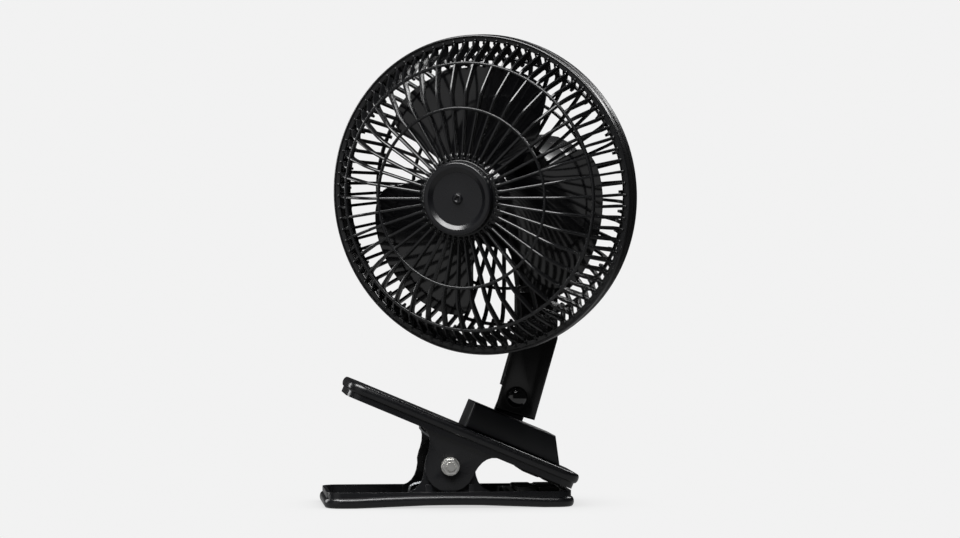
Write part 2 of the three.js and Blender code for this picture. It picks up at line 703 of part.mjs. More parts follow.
// A point beside the arm's middle line: `side` across it, `rise` up its upright part.
function uprightPoint(side, rise) {
  return [
    ARM_OFFSET + side * Math.cos(TURN) - rise * Math.sin(TURN),
    ARM_BEND + side * Math.sin(TURN) + rise * Math.cos(TURN),
  ];
}

function mitrePoint(side) {
  const stretch = side / Math.cos(TURN / 2);
  return [ARM_OFFSET + stretch * Math.cos(TURN / 2), ARM_BEND + stretch * Math.sin(TURN / 2)];
}

function armOutline(inset, bottom, top) {
  const half = ARM_HALF - inset;
  return outline([
    [ARM_OFFSET - half, bottom], [ARM_OFFSET + half, bottom], mitrePoint(half),
    uprightPoint(half, top), uprightPoint(-half, top), mitrePoint(-half),
  ]);
}

function neckArm() {
  const inside = LUG_HALF + RUN_GAP;
  const wide = ARM_WIDTH;
  const outer = solid(plate(armOutline(0, -ARM_TONGUE, ARM_UPRIGHT), -ARM_FACE, ARM_FACE, 1));
  const hollow = plate(armOutline(ARM_WALL, 0, ARM_UPRIGHT - ARM_TOP_PLATE), -inside, inside);
  const belowShoulder = block(-wide, wide, -inside, ARM_FACE + 1, -ARM_TONGUE - 1, ARM_SHOULDER);
  const lugSweep = rodAlongY(LUG_RADIUS + RUN_GAP, -inside, inside, 24);
  const farCheek = rodAlongY(LUG_RADIUS + SEAT_GAP, inside, ARM_FACE, 24);
  const forked = cut(outer, hollow, belowShoulder, lugSweep).add(solid(farCheek));
  const recess = rodAlongY(DOME_RECESS, -ARM_FACE - 1, -ARM_FACE + DOME_RECESS_DEPTH, 32);
  const boltBore = rodAlongY(BOLT_BORE, -ARM_FACE - 1, ARM_FACE + 1);
  const spindleBore = rod(SPINDLE_RADIUS + SEAT_GAP, ARM_UPRIGHT - ARM_TOP_PLATE - 1, ARM_UPRIGHT + 1, 20)
    .rotateY(-TURN).translate(ARM_OFFSET, 0, ARM_BEND);
  return cut(forked, recess, boltBore, spindleBore);
}

function neckBolt() {
  const seat = -ARM_FACE + DOME_RECESS_DEPTH - SEAT_GAP;
  const dome = [];
  for (let i = 0; i <= 4; i += 1) {
    const angle = (Math.PI / 2) * (i / 4);
    dome.push([DOME_RADIUS * Math.sin(angle), seat - 1 - (DOME_HEIGHT - 1) * Math.cos(angle)]);
  }
  const head = turned([...dome, [DOME_RADIUS, seat], [0, seat]]).rotateX(-Math.PI / 2);
  return join(head, rodAlongY(BOLT_RADIUS, seat - 1, ARM_FACE + WASHER_THICKNESS + NUT_HEIGHT + 1.4));
}

function neckNut() {
  const seat = ARM_FACE + WASHER_THICKNESS + 2 * SEAT_GAP;
  const body = hexagon(NUT_FLATS, seat, seat + NUT_HEIGHT).rotateX(-Math.PI / 2);
  return cut(solid(body), rodAlongY(BOLT_RADIUS + BOLT_CLEARANCE, seat - 1, seat + NUT_HEIGHT + 1));
}

function neckWasher() {
  const low = ARM_FACE + SEAT_GAP;
  return ring(BOLT_RADIUS + BOLT_CLEARANCE, LUG_RADIUS - 2.2, low, low + WASHER_THICKNESS, 14)
    .rotateX(-Math.PI / 2);
}

// ---------------------------------------------------------------- swivel and knuckle

// In the swivel's frame the arm's top face is at zero height and forward is -Y.

const CHEEK_INNER = TAB_WIDTH / 2 + SEAT_GAP;
const CHEEK_OUTER = CHEEK_INNER + KNUCKLE_CHEEK;

function cheekOutline(radius, rise) {
  const shape = new THREE.Shape();
  shape.moveTo(-radius, 0);
  shape.lineTo(radius, 0);
  shape.lineTo(radius, rise);
  shape.absarc(0, rise, radius, 0, Math.PI);
  return shape;
}

// An outline drawn in Y and Z, pushed along X between two planes.
function plateAcross(shape, low, high, steps = 8) {
  const lying = slab(shape, high - low, 0, 0, steps);
  return lying.rotateX(Math.PI / 2).rotateZ(Math.PI / 2).translate(low, 0, 0);
}

function swivelYoke() {
  const stem = rod(SPINDLE_RADIUS, -ARM_TOP_PLATE - SEAT_GAP, SEAT_GAP + 1, 14);
  const thread = rod(BOLT_RADIUS, -ARM_TOP_PLATE - WASHER_THICKNESS - NUT_HEIGHT - 2.4, 0);
  const disc = rod(SWIVEL_DISC, SEAT_GAP, SEAT_GAP + SWIVEL_DISC_HEIGHT, 16);
  const rise = KNUCKLE_RISE - SWIVEL_DISC_HEIGHT;
  const cheek = cheekOutline(KNUCKLE_RADIUS, rise);
  const near = plateAcross(cheek, CHEEK_INNER, CHEEK_OUTER).translate(0, 0, SWIVEL_DISC_HEIGHT);
  const far = plateAcross(cheek, -CHEEK_OUTER, -CHEEK_INNER).translate(0, 0, SWIVEL_DISC_HEIGHT);
  const bore = rodAlongX(TILT_BOLT_RADIUS + SEAT_GAP, -CHEEK_OUTER - 1, CHEEK_OUTER + 1);
  return cut(join(stem, thread, disc, near, far), bore.translate(0, 0, KNUCKLE_RISE));
}

function swivelWasher() {
  const high = -ARM_TOP_PLATE - SEAT_GAP;
  return ring(BOLT_RADIUS + BOLT_CLEARANCE, LUG_HALF - SEAT_GAP, high - WASHER_THICKNESS, high, 14)
    .translate(0, 0, -SEAT_GAP);
}

function swivelNut() {
  const high = -ARM_TOP_PLATE - 3 * SEAT_GAP - WASHER_THICKNESS;
  const body = hexagon(NUT_FLATS - 0.8, high - NUT_HEIGHT, high);
  return cut(solid(body), rod(BOLT_RADIUS + BOLT_CLEARANCE, high - NUT_HEIGHT - 1, high + 1));
}

function tiltBolt() {
  const seat = CHEEK_OUTER + SEAT_GAP;
  const head = turned([[0, seat], [4.2, seat], [4.2, seat + 1], [3, seat + 2.4], [0, seat + 2.8]], 20);
  const shank = rodAlongX(TILT_BOLT_RADIUS, -seat - 4, seat + 1);
  return join(head.rotateY(Math.PI / 2), shank).translate([0, 0, KNUCKLE_RISE]);
}

function tiltNut() {
  const seat = -CHEEK_OUTER - SEAT_GAP;
  const body = hexagon(NUT_FLATS - 1.8, seat - 3, seat).rotateY(Math.PI / 2);
  const bore = rodAlongX(TILT_BOLT_RADIUS + BOLT_CLEARANCE, seat - 4, seat + 1);
  return cut(solid(body), bore).translate([0, 0, KNUCKLE_RISE]);
}

// ---------------------------------------------------------------- cage

// In the head's frame forward is +Z, up is +Y and the rim's front edge lies at zero.

// One rib: a strip that follows [radius, front] corners, `depth` thick behind them.
function rib(corners, width, depth) {
  const back = corners.map((corner, i) => {
    const [r0, z0] = corners[Math.max(i - 1, 0)];
    const [r1, z1] = corners[Math.min(i + 1, corners.length - 1)];
    const length = Math.hypot(r1 - r0, z1 - z0);
    return [corner[0] + (depth * (z1 - z0)) / length, corner[1] - (depth * (r1 - r0)) / length];
  });
  const strip = outline([...corners, ...back.reverse()]);
  return plate(strip, -width / 2, width / 2);
}

function spread(geometry, count, offset = 0) {
  const copies = [];
  for (let i = 0; i < count; i += 1) {
    copies.push(solid(geometry.clone().rotateZ((2 * Math.PI * (i + offset)) / count)));
  }
  return copies;
}

function fuse(solids) {
  return wasm.Manifold.union(solids);
}

function frontRib() {
  return rib([
    [COLLAR_RADIUS - RIB_ROOT, COLLAR_FRONT - RIB_SINK], [SHOULDER_RADIUS, SHOULDER_FRONT],
    [SIDE_KINK_RADIUS, SIDE_KINK_FRONT], [RIM_INNER + RIB_ROOT, -RIM_FRONT_DEPTH / 2],
  ], RIB_WIDTH, RIB_DEPTH);
}

function sideRib() {
  return rib([
    [OUTER_RING_RADIUS + 0.6, outerRingFront() - 0.4], [RIM_INNER + RIB_ROOT, -RIM_FRONT_DEPTH / 2],
  ], RIB_WIDTH, RIB_DEPTH);
}

function frontRim() {
  const step = RIM_LIP;
  return turned([
    [RIM_INNER, -RIM_FRONT_DEPTH], [RIM_RADIUS, -RIM_FRONT_DEPTH], [RIM_RADIUS, -step],
    [RIM_RADIUS - step, 0], [RIM_INNER, 0], [RIM_INNER, -RIM_FRONT_DEPTH],
  ], CAGE_RIBS);
}

function innerRingFront() {
  const share = (INNER_RING_RADIUS - COLLAR_RADIUS) / (SHOULDER_RADIUS - COLLAR_RADIUS);
  return THREE.MathUtils.lerp(COLLAR_FRONT - RIB_SINK, SHOULDER_FRONT, share);
}

function outerRingFront() {
  const slope = (SHOULDER_FRONT - SIDE_KINK_FRONT) / (SIDE_KINK_RADIUS - SHOULDER_RADIUS);
  return SIDE_KINK_FRONT + slope * (SIDE_KINK_RADIUS - OUTER_RING_RADIUS) - 1.2;
}

function cageRing(radius, front, width, depth, count) {
  const half = width / 2;
  return ring(radius - half, radius + half, front - depth, front, count);
}

function frontGrille() {
  const count = CAGE_RIBS;
  const collar = ring(COLLAR_BORE, COLLAR_RADIUS, COLLAR_FRONT - COLLAR_DEPTH, COLLAR_FRONT, count);
  const innerFront = innerRingFront() - RING_SINK;
  const innerRing = cageRing(INNER_RING_RADIUS, innerFront, RING_WIDTH, RING_DEPTH, count);
  const outerRing = cageRing(OUTER_RING_RADIUS, outerRingFront(), SIDE_RING_WIDTH, RING_DEPTH, count);
  return fuse([
    ...spread(frontRib(), CAGE_RIBS), ...spread(sideRib(), CAGE_RIBS, 0.5),
    solid(collar), solid(innerRing), solid(outerRing), solid(frontRim()),
  ]);
}

function hubCap() {
  const seat = COLLAR_FRONT + SEAT_GAP;
  const face = seat + CAP_HEIGHT;
  const dish = face - CAP_DISH;
  const [spigot, low] = [COLLAR_BORE - SEAT_GAP, seat - CAP_SPIGOT];
  return turned([
    [0, low], [spigot, low], [spigot, seat], [CAP_RADIUS, seat], [CAP_RADIUS, face - 1.6],
    [CAP_RADIUS - 1.2, face - 0.3], [CAP_RADIUS - 2.6, face], [CAP_FACE_RADIUS, dish],
    [CAP_BOSS_RADIUS, dish], [0.75 * CAP_BOSS_RADIUS, dish + 0.9], [0, dish + 1.1],
  ], 22);
}

function rearRib() {
  const start = -RIM_FRONT_DEPTH - RIM_REAR_DEPTH;
  return rib([
    [REAR_HUB_RADIUS - 1.4, -REAR_DEPTH + RIB_DEPTH], [REAR_CORNER_RADIUS, -REAR_DEPTH + RIB_DEPTH],
    [RIM_INNER + RIB_ROOT, start + RIB_DEPTH],
  ].reverse(), RIB_WIDTH + 0.2, -RIB_DEPTH);
}

function rearRim() {
  const front = -RIM_FRONT_DEPTH - SEAT_GAP;
  const back = -RIM_FRONT_DEPTH - RIM_REAR_DEPTH;
  return turned([
    [RIM_INNER, back], [RIM_RADIUS - 2 * RIM_LIP, back], [REAR_RIM_RADIUS, back + 2 * RIM_LIP],
    [REAR_RIM_RADIUS, front], [RIM_INNER, front], [RIM_INNER, back],
  ], CAGE_RIBS);
}

function rearHub() {
  const low = -REAR_DEPTH;
  return ring(REAR_HUB_BORE, REAR_HUB_RADIUS, low, low + REAR_HUB_THICKNESS, REAR_RIBS);
}

function screwPlaces() {
  return [90, 210, 330].map(radians).map((angle) => (
    [GRILLE_SCREW_CIRCLE * Math.cos(angle), GRILLE_SCREW_CIRCLE * Math.sin(angle)]));
}

function rearGrille() {
  const low = -REAR_DEPTH;
  const ringFront = low + RIB_DEPTH - RING_SINK;
  const rearRing = cageRing(REAR_RING_RADIUS, ringFront, RING_WIDTH, RING_DEPTH, REAR_RIBS);
  const cage = fuse([...spread(rearRib(), REAR_RIBS), ...[rearRim(), rearHub(), rearRing].map(solid)]);
  const bore = rod(GRILLE_SCREW_RADIUS + RUN_GAP, low - 1, low + REAR_HUB_THICKNESS + 1, 8);
  return cut(cage, ...screwPlaces().map(([x, y]) => bore.clone().translate(x, y, 0)));
}

function grilleScrew([x, y]) {
  const seat = -REAR_DEPTH + REAR_HUB_THICKNESS + SEAT_GAP;
  const reach = GRILLE_SCREW_HEAD;
  const head = turned([[0, seat], [reach, seat], [0.8 * reach, seat + 1.6], [0, seat + 2]], 10);
  const shank = rod(GRILLE_SCREW_RADIUS, -REAR_DEPTH - GRILLE_SCREW_LENGTH, seat + 0.5, 8);
  return join(head, shank).translate([x, y, 0]);
}

// ---------------------------------------------------------------- fan wheel

// A point on a blade's middle surface: `share` along the radius, `sweep` across the blade from
// its leading edge, which lies behind, to its trailing one.
function bladePoint(share, sweep) {
  const root = WHEEL_HUB_RADIUS - BLADE_THICKNESS;
  const radius = root + (BLADE_TIP - root) * share;
  const rounding = Math.sqrt(Math.max(0, 1 - Math.abs(2 * sweep - 1) ** 5));
  const reach = share > 0.5 ? radius * (1 - BLADE_CORNER * (1 - rounding)) : radius;
  const span = THREE.MathUtils.lerp(BLADE_ROOT_SPAN, BLADE_SPAN, share);
  const angle = radians(BLADE_START + BLADE_SWEEP * share + span * (sweep - 0.5));
  const pitch = BLADE_PITCH_DEPTH * (1 - BLADE_UNTWIST * share) * (sweep - 0.5);
  const bow = BLADE_BOW * Math.sin(Math.PI * sweep) * share;
  const depth = WHEEL_FRONT - WHEEL_HUB_DEPTH / 2 + pitch + bow;
  return new THREE.Vector3(reach * Math.cos(angle), reach * Math.sin(angle), depth);
}

// A closed sheet: the blade's front and back are the same grid, half the thickness apart.
function blade() {
  const [rows, columns] = [5, 8];
  const positions = [];
  for (const side of [1, -1]) {
    for (let i = 0; i < rows; i += 1) {
      for (let j = 0; j < columns; j += 1) {
        const point = bladePoint(i / (rows - 1), j / (columns - 1));
        positions.push(point.x, point.y, point.z + (side * BLADE_THICKNESS) / 2);
      }
    }
  }
  const at = (side, i, j) => side * rows * columns + i * columns + j;
  const index = [];
  const quad = (a, b, c, d) => index.push(a, b, c, a, c, d);
  for (let i = 0; i + 1 < rows; i += 1) {
    for (let j = 0; j + 1 < columns; j += 1) {
      quad(at(0, i, j), at(0, i + 1, j), at(0, i + 1, j + 1), at(0, i, j + 1));
      quad(at(1, i, j), at(1, i, j + 1), at(1, i + 1, j + 1), at(1, i + 1, j));
    }
  }
  const end = columns - 1;
  for (let i = 0; i + 1 < rows; i += 1) {
    quad(at(0, i, 0), at(1, i, 0), at(1, i + 1, 0), at(0, i + 1, 0));
    quad(at(0, i + 1, end), at(1, i + 1, end), at(1, i, end), at(0, i, end));
  }
  for (let j = 0; j + 1 < columns; j += 1) {
    quad(at(0, 0, j + 1), at(1, 0, j + 1), at(1, 0, j), at(0, 0, j));
    quad(at(0, rows - 1, j), at(1, rows - 1, j), at(1, rows - 1, j + 1), at(0, rows - 1, j + 1));
  }
  const geometry = new THREE.BufferGeometry();
  geometry.setAttribute('position', new THREE.Float32BufferAttribute(positions, 3));
  geometry.setIndex(index);
  return geometry;
}

function fanBlade() {
  const back = WHEEL_FRONT - WHEEL_HUB_DEPTH;
  const face = WHEEL_FRONT - WHEEL_FACE;
  const bore = SHAFT_RADIUS + BOLT_CLEARANCE;
  const bossBack = WHEEL_FRONT - WHEEL_BOSS_LENGTH;
  const hub = turned([
    [bore, bossBack], [WHEEL_BOSS_RADIUS, bossBack], [WHEEL_BOSS_RADIUS, face],
    [WHEEL_HUB_RADIUS - WHEEL_WALL, face], [WHEEL_HUB_RADIUS - WHEEL_WALL, back],
    [WHEEL_HUB_RADIUS, back], [WHEEL_HUB_RADIUS, face], [WHEEL_HUB_RADIUS - WHEEL_FACE, WHEEL_FRONT],
    [bore, WHEEL_FRONT], [bore, bossBack],
  ], 18);
  const inner = rod(WHEEL_HUB_RADIUS - WHEEL_WALL, back - WHEEL_HUB_DEPTH, face, 18);
  const blades = fuse(spread(blade(), BLADE_COUNT)).subtract(solid(inner));
  return blades.add(solid(hub));
}

function bladeNut() {
  const seat = WHEEL_FRONT + SEAT_GAP;
  const bore = SHAFT_RADIUS + BOLT_CLEARANCE;
  const [grip, nose, top] = [BLADE_NUT_RADIUS, 0.8 * BLADE_NUT_RADIUS, seat + BLADE_NUT_HEIGHT];
  const profile = [
    [bore, seat], [grip, seat], [grip, seat + 0.55 * BLADE_NUT_HEIGHT], [nose, top - 1],
    [bore + 0.6, top], [bore, top], [bore, seat],
  ];
  const notch = rod(BLADE_NUT_NOTCH, seat - 1, seat + 0.7 * BLADE_NUT_HEIGHT, 4).translate(grip, 0, 0);
  return spread(notch, 6).reduce((rest, tool) => rest.subtract(tool), solid(turned(profile, 12)));
}

// ---------------------------------------------------------------- motor

const MOTOR_FRONT = -REAR_DEPTH - SEAT_GAP;
const FRONT_BEARING_BACK = MOTOR_FRONT - MOTOR_WALL - BEARING_LENGTH;
const REAR_BEARING_FRONT = -MOTOR_BACK + 2 * BEARING_LENGTH;

function frontHousing() {
  const [front, back, inner] = [MOTOR_FRONT, -MOTOR_SPLIT, MOTOR_RADIUS - MOTOR_WALL];
  const [bore, pocket] = [SHAFT_RADIUS + 1, BEARING_RADIUS + SEAT_GAP];
  const [boss, floor] = [pocket + MOTOR_WALL, front - MOTOR_WALL];
  const shell = turned([
    [bore, front], [MOTOR_RADIUS - MOTOR_EDGE, front], [MOTOR_RADIUS, front - MOTOR_EDGE],
    [MOTOR_RADIUS, back], [inner, back], [inner, floor], [boss, floor],
    [boss, FRONT_BEARING_BACK], [pocket, FRONT_BEARING_BACK], [pocket, floor + SEAT_GAP],
    [bore, floor + SEAT_GAP], [bore, front],
  ]);
  const end = front - GRILLE_SCREW_LENGTH - MOTOR_WALL;
  const screwBore = rod(GRILLE_SCREW_RADIUS + SEAT_GAP, end, front + 1, 8);
  const screwPost = rod(2.4 * GRILLE_SCREW_RADIUS, end, front - 1, 12);
  const posts = screwPlaces().map(([x, y]) => solid(screwPost.clone().translate(x, y, 0)));
  const bossed = posts.reduce((sum, post) => sum.add(post), solid(shell));
  return cut(bossed, ...screwPlaces().map(([x, y]) => screwBore.clone().translate(x, y, 0)));
}

function rearShell() {
  const [split, back, inner] = [-MOTOR_SPLIT - SEAT_GAP, -MOTOR_BACK, MOTOR_RADIUS - MOTOR_WALL];
  const pocket = BEARING_RADIUS + SEAT_GAP;
  const boss = pocket + MOTOR_WALL;
  const rear = REAR_BEARING_FRONT;
  const pocketBack = rear - BEARING_LENGTH - 1;
  const [shoulder, floor] = [back + MOTOR_TAPER, back + 2 * MOTOR_WALL];
  return turned([
    [inner, split], [MOTOR_RADIUS, split], [MOTOR_RADIUS - 1, shoulder],
    [MOTOR_RADIUS - 5, back + 0.4 * MOTOR_TAPER], [MOTOR_END_RADIUS, back], [0, back], [0, pocketBack],
    [pocket, pocketBack], [pocket, rear], [boss, rear], [boss, floor],
    [MOTOR_END_RADIUS - 1, floor], [inner - 1, shoulder], [inner, split],
  ]);
}

// The knuckle's tongue under the motor, round at the tilt bolt.
function tiltTongue() {
  const rise = HEAD_RISE - MOTOR_RADIUS + 2 * MOTOR_WALL;
  const tongue = plateAcross(cheekOutline(KNUCKLE_RADIUS, rise), -TAB_WIDTH / 2, TAB_WIDTH / 2);
  tongue.rotateX(Math.PI).translate(0, 0, rise);
  return tongue.rotateX(-Math.PI / 2).translate(0, -HEAD_RISE, -HEAD_REACH);
}

function rearHousing() {
  const end = -MOTOR_BACK + 0.55 * MOTOR_TAPER;
  const inside = rod(MOTOR_RADIUS - MOTOR_WALL - 1, end, -MOTOR_SPLIT, 20);
  const bore = rodAlongX(TILT_BOLT_RADIUS + SEAT_GAP, -TAB_WIDTH, TAB_WIDTH);
  const body = solid(rearShell()).add(solid(tiltTongue()).subtract(solid(inside)));
  const bored = cut(body, bore.translate(0, -HEAD_RISE, -HEAD_REACH));
  const [low, high] = [VENT_INNER, VENT_INNER + VENT_LENGTH];
  const vent = block(low, high, -VENT_WIDTH / 2, VENT_WIDTH / 2, -MOTOR_BACK - 2, end + VENT_WIDTH);
  return spread(vent, VENT_COUNT, 0.5).reduce((rest, slot) => rest.subtract(slot), bored);
}

function bearing(front) {
  return ring(SHAFT_RADIUS + BOLT_CLEARANCE, BEARING_RADIUS, front - BEARING_LENGTH, front, 14);
}

function motorShaft() {
  return rod(SHAFT_RADIUS, REAR_BEARING_FRONT - BEARING_LENGTH, WHEEL_FRONT + 6, 16);
}

function rotorCore() {
  const bore = SHAFT_RADIUS + BOLT_CLEARANCE;
  return ring(bore, STATOR_BORE - ROTOR_GAP, -STACK_FRONT - STACK_LENGTH, -STACK_FRONT, 24);
}

// Four poles stand in from a round yoke and end in shoes that face the rotor.
const POLE_HALF = 4;
const YOKE_WIDTH = 4;
const SHOE_WING = 3;
const SHOE_DEPTH = 2.4;
const COIL_WALL = 3.2;
const COIL_OVERHANG = 3.6;

function statorCore() {
  const [front, back] = [-STACK_FRONT, -STACK_FRONT - STACK_LENGTH];
  const inner = STATOR_RADIUS - YOKE_WIDTH;
  const shoeHalf = POLE_HALF + SHOE_WING;
  const yoke = ring(inner, STATOR_RADIUS, back, front, 24);
  const pole = block(STATOR_BORE + 1, inner + 1, -POLE_HALF, POLE_HALF, back, front);
  const shoe = block(STATOR_BORE - 1, STATOR_BORE + SHOE_DEPTH, -shoeHalf, shoeHalf, back, front);
  const core = fuse([solid(yoke), ...spread(pole, POLE_COUNT), ...spread(shoe, POLE_COUNT)]);
  return cut(core, rod(STATOR_BORE, back - 1, front + 1, 24));
}

// A winding round one pole, between its shoe and the yoke.
function statorCoil() {
  const low = STATOR_BORE + SHOE_DEPTH + SEAT_GAP;
  const high = STATOR_RADIUS - YOKE_WIDTH - 6 * SEAT_GAP;
  const [front, back] = [-STACK_FRONT, -STACK_FRONT - STACK_LENGTH];
  const wide = POLE_HALF + COIL_WALL;
  const narrow = POLE_HALF + SEAT_GAP;
  const outer = block(low, high, -wide, wide, back - COIL_OVERHANG, front + COIL_OVERHANG);
  return cut(
    solid(outer), block(low - 1, high + 1, -narrow, narrow, back - SEAT_GAP, front + SEAT_GAP));
}

// ---------------------------------------------------------------- assembly

const clipFan = new THREE.Group();

const lowerJaw = new THREE.Group();
lowerJaw.position.z = PIVOT_HEIGHT;
clipFan.add(lowerJaw);

const lowerTray = new THREE.Group();
lowerTray.rotation.x = Math.PI;
lowerJaw.add(lowerTray);
piece('lower_lever', lowerLever(), satinBlack, lowerTray);
piece('lower_tip_pad', jawPad(PAD_OUTER_END), rubberBlack, lowerTray);
piece('lower_inner_pad', jawPad(PAD_OUTER_END - PAD_SPACING), rubberBlack, lowerTray);
piece('clip_bolt', clipBolt(), zincSteel, lowerJaw);
piece('clip_nut', clipNut(), zincSteel, lowerJaw);
piece('clip_washer', clipWasher(), zincSteel, lowerJaw);
piece('clip_spacer', clipSpacer(), zincSteel, lowerJaw);
piece('clip_spring', clipSpring(), springSteel, lowerJaw);

const upperJaw = new THREE.Group();
upperJaw.position.z = PIVOT_HEIGHT;
upperJaw.rotation.y = radians(JAW_ANGLE);
clipFan.add(upperJaw);
piece('upper_lever', upperLever(), satinBlack, upperJaw);
piece('upper_tip_pad', jawPad(PAD_OUTER_END), rubberBlack, upperJaw);
piece('upper_inner_pad', jawPad(PAD_OUTER_END - PAD_SPACING), rubberBlack, upperJaw);
piece('switch_box', switchBox(), slateBlack, upperJaw);
boxScrewPlaces().forEach((place, i) => piece(`box_screw_${i + 1}`, boxScrew(place), zincSteel, upperJaw));
piece('switch_body', switchBody(), greyBlack, upperJaw);
piece('speed_rocker', speedRocker(), glossBlack, upperJaw);
piece('cord_gland', cordGland(), rubberBlack, upperJaw);

const neck = new THREE.Group();
neck.position.set(NECK_ALONG, 0, NECK_UP);
neck.rotation.y = radians(NECK_LEAN - JAW_ANGLE);
upperJaw.add(neck);
piece('neck_arm', neckArm(), slateBlack, neck);
piece('neck_bolt', neckBolt(), glossBlack, neck);
piece('neck_washer', neckWasher(), zincSteel, neck);
piece('neck_nut', neckNut(), zincSteel, neck);

const armTop = new THREE.Group();
const [armTopX, armTopZ] = uprightPoint(0, ARM_UPRIGHT);
armTop.position.set(armTopX, 0, armTopZ);
armTop.rotation.y = -TURN;
neck.add(armTop);
piece('swivel_washer', swivelWasher(), zincSteel, armTop);
piece('swivel_nut', swivelNut(), zincSteel, armTop);

const swivel = new THREE.Group();
swivel.rotation.z = -radians(HEAD_TURN);
armTop.add(swivel);
piece('swivel_yoke', swivelYoke(), slateBlack, swivel);
piece('tilt_bolt', tiltBolt(), zincSteel, swivel);
piece('tilt_nut', tiltNut(), zincSteel, swivel);

const tilt = new THREE.Group();
tilt.position.z = KNUCKLE_RISE;
tilt.rotation.x = radians(HEAD_DIP);
swivel.add(tilt);

const head = new THREE.Group();
head.position.set(0, -HEAD_REACH, HEAD_RISE);
head.rotation.x = Math.PI / 2;
tilt.add(head);
piece('front_grille', frontGrille(), greyBlack, head);
piece('hub_cap', hubCap(), satinBlack, head);
piece('rear_grille', rearGrille(), satinBlack, head);
screwPlaces().forEach((place, i) => piece(`grille_screw_${i + 1}`, grilleScrew(place), zincSteel, head));
piece('front_housing', frontHousing(), satinBlack, head);
piece('rear_housing', rearHousing(), satinBlack, head);
piece('front_bearing', bearing(FRONT_BEARING_BACK + BEARING_LENGTH), bronze, head);
piece('rear_bearing', bearing(REAR_BEARING_FRONT), bronze, head);
piece('stator_core', statorCore(), laminate, head);
spread(shaped(statorCoil()), POLE_COUNT).forEach((coil, i) => (
  piece(`stator_coil_${i + 1}`, coil, copper, head)));
piece('motor_shaft', motorShaft(), zincSteel, head);
piece('rotor_core', rotorCore(), laminate, head);
piece('fan_blade', fanBlade(), glossBlack, head);
piece('blade_nut', bladeNut(), glossBlack, head);

// The outline's middle comes over the origin.
const outlineBox = new THREE.Box3().setFromObject(clipFan, true);
const outlineMiddle = outlineBox.getCenter(new THREE.Vector3());
[lowerJaw, upperJaw].forEach((jaw) => {
  jaw.position.x -= outlineMiddle.x;
  jaw.position.y -= outlineMiddle.y;
});

export default clipFan;
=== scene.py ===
# %% [markdown]
# # A clip fan in Blender
# The imported solids give every size, joint and place. This notebook dresses them: it keeps the small
# metal parts, rebuilds the mouldings that the eye reads first (cage, blades, hub cap, clip levers,
# switch box, neck) with round edges and smooth curves, and gives each finish its own material.
# The first cell loads the solids and hangs each on its body.

# %% Load the frame
import json
import math
import bmesh
import bpy
from mathutils import Matrix, Vector

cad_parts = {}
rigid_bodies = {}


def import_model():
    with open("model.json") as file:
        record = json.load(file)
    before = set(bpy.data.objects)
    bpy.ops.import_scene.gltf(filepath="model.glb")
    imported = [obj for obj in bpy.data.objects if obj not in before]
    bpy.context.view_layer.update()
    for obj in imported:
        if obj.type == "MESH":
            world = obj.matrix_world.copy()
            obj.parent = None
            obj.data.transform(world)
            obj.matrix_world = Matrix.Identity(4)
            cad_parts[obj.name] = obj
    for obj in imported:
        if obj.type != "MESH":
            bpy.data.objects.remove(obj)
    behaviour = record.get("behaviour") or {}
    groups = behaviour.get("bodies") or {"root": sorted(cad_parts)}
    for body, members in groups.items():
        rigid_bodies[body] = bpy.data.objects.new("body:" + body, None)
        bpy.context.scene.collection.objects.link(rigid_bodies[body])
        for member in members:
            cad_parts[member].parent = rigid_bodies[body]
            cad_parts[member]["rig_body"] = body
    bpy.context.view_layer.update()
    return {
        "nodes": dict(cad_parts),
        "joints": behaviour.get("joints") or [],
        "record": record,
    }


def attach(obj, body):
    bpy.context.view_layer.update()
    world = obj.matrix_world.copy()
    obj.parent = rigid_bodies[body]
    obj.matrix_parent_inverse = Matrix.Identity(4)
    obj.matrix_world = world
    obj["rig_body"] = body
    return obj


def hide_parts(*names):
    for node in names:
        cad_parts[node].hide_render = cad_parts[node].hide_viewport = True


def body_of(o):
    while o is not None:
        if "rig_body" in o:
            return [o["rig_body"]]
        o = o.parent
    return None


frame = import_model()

MM = 0.001
nodes = frame["nodes"]
joints = {joint["name"]: joint for joint in frame["joints"]}

# %% [markdown]
# ## Camera first
# The photograph seems to be taken from nearly two metres, a little to the left of the clip's front
# and almost level with it. A long lens from far away keeps the round cage from bulging. The camera
# is set by its place and its looking direction, because both were measured from the clip.

# %% Camera
CAMERA_PLACE = Vector((-0.18487, -1.94273, 0.1627))
CAMERA_TURN = math.radians(5.546)
CAMERA_DIP = math.radians(0.7)
camera_data = bpy.data.cameras.new("camera")
camera_data.sensor_width = 36
camera_data.lens = 127.1
camera_data.clip_end = 20
camera = bpy.data.objects.new("camera", camera_data)
bpy.context.scene.collection.objects.link(camera)
camera.location = CAMERA_PLACE
looking = Vector((math.sin(CAMERA_TURN) * math.cos(CAMERA_DIP),
                  math.cos(CAMERA_TURN) * math.cos(CAMERA_DIP), -math.sin(CAMERA_DIP)))
camera.rotation_euler = looking.to_track_quat("-Z", "Y").to_euler()
bpy.context.scene.camera = camera
print("camera", tuple(round(v, 3) for v in camera.location))

# %% [markdown]
# ## Local frames
# Each moulding is easiest to draw in its own axes: the levers along their length, the cage round
# the motor shaft. The joints already hold those axes, so the frames are read from them, and a
# piece drawn in a frame lands where the solids are.

# %% Frames from the joints
def axes_at(origin, x_axis, y_axis):
    x_axis, y_axis = Vector(x_axis).normalized(), Vector(y_axis).normalized()
    z_axis = x_axis.cross(y_axis)
    frame_matrix = Matrix((x_axis, y_axis, z_axis)).transposed().to_4x4()
    frame_matrix.translation = Vector(origin)
    return frame_matrix


def place(name):
    return joints[name]["pos_m"]


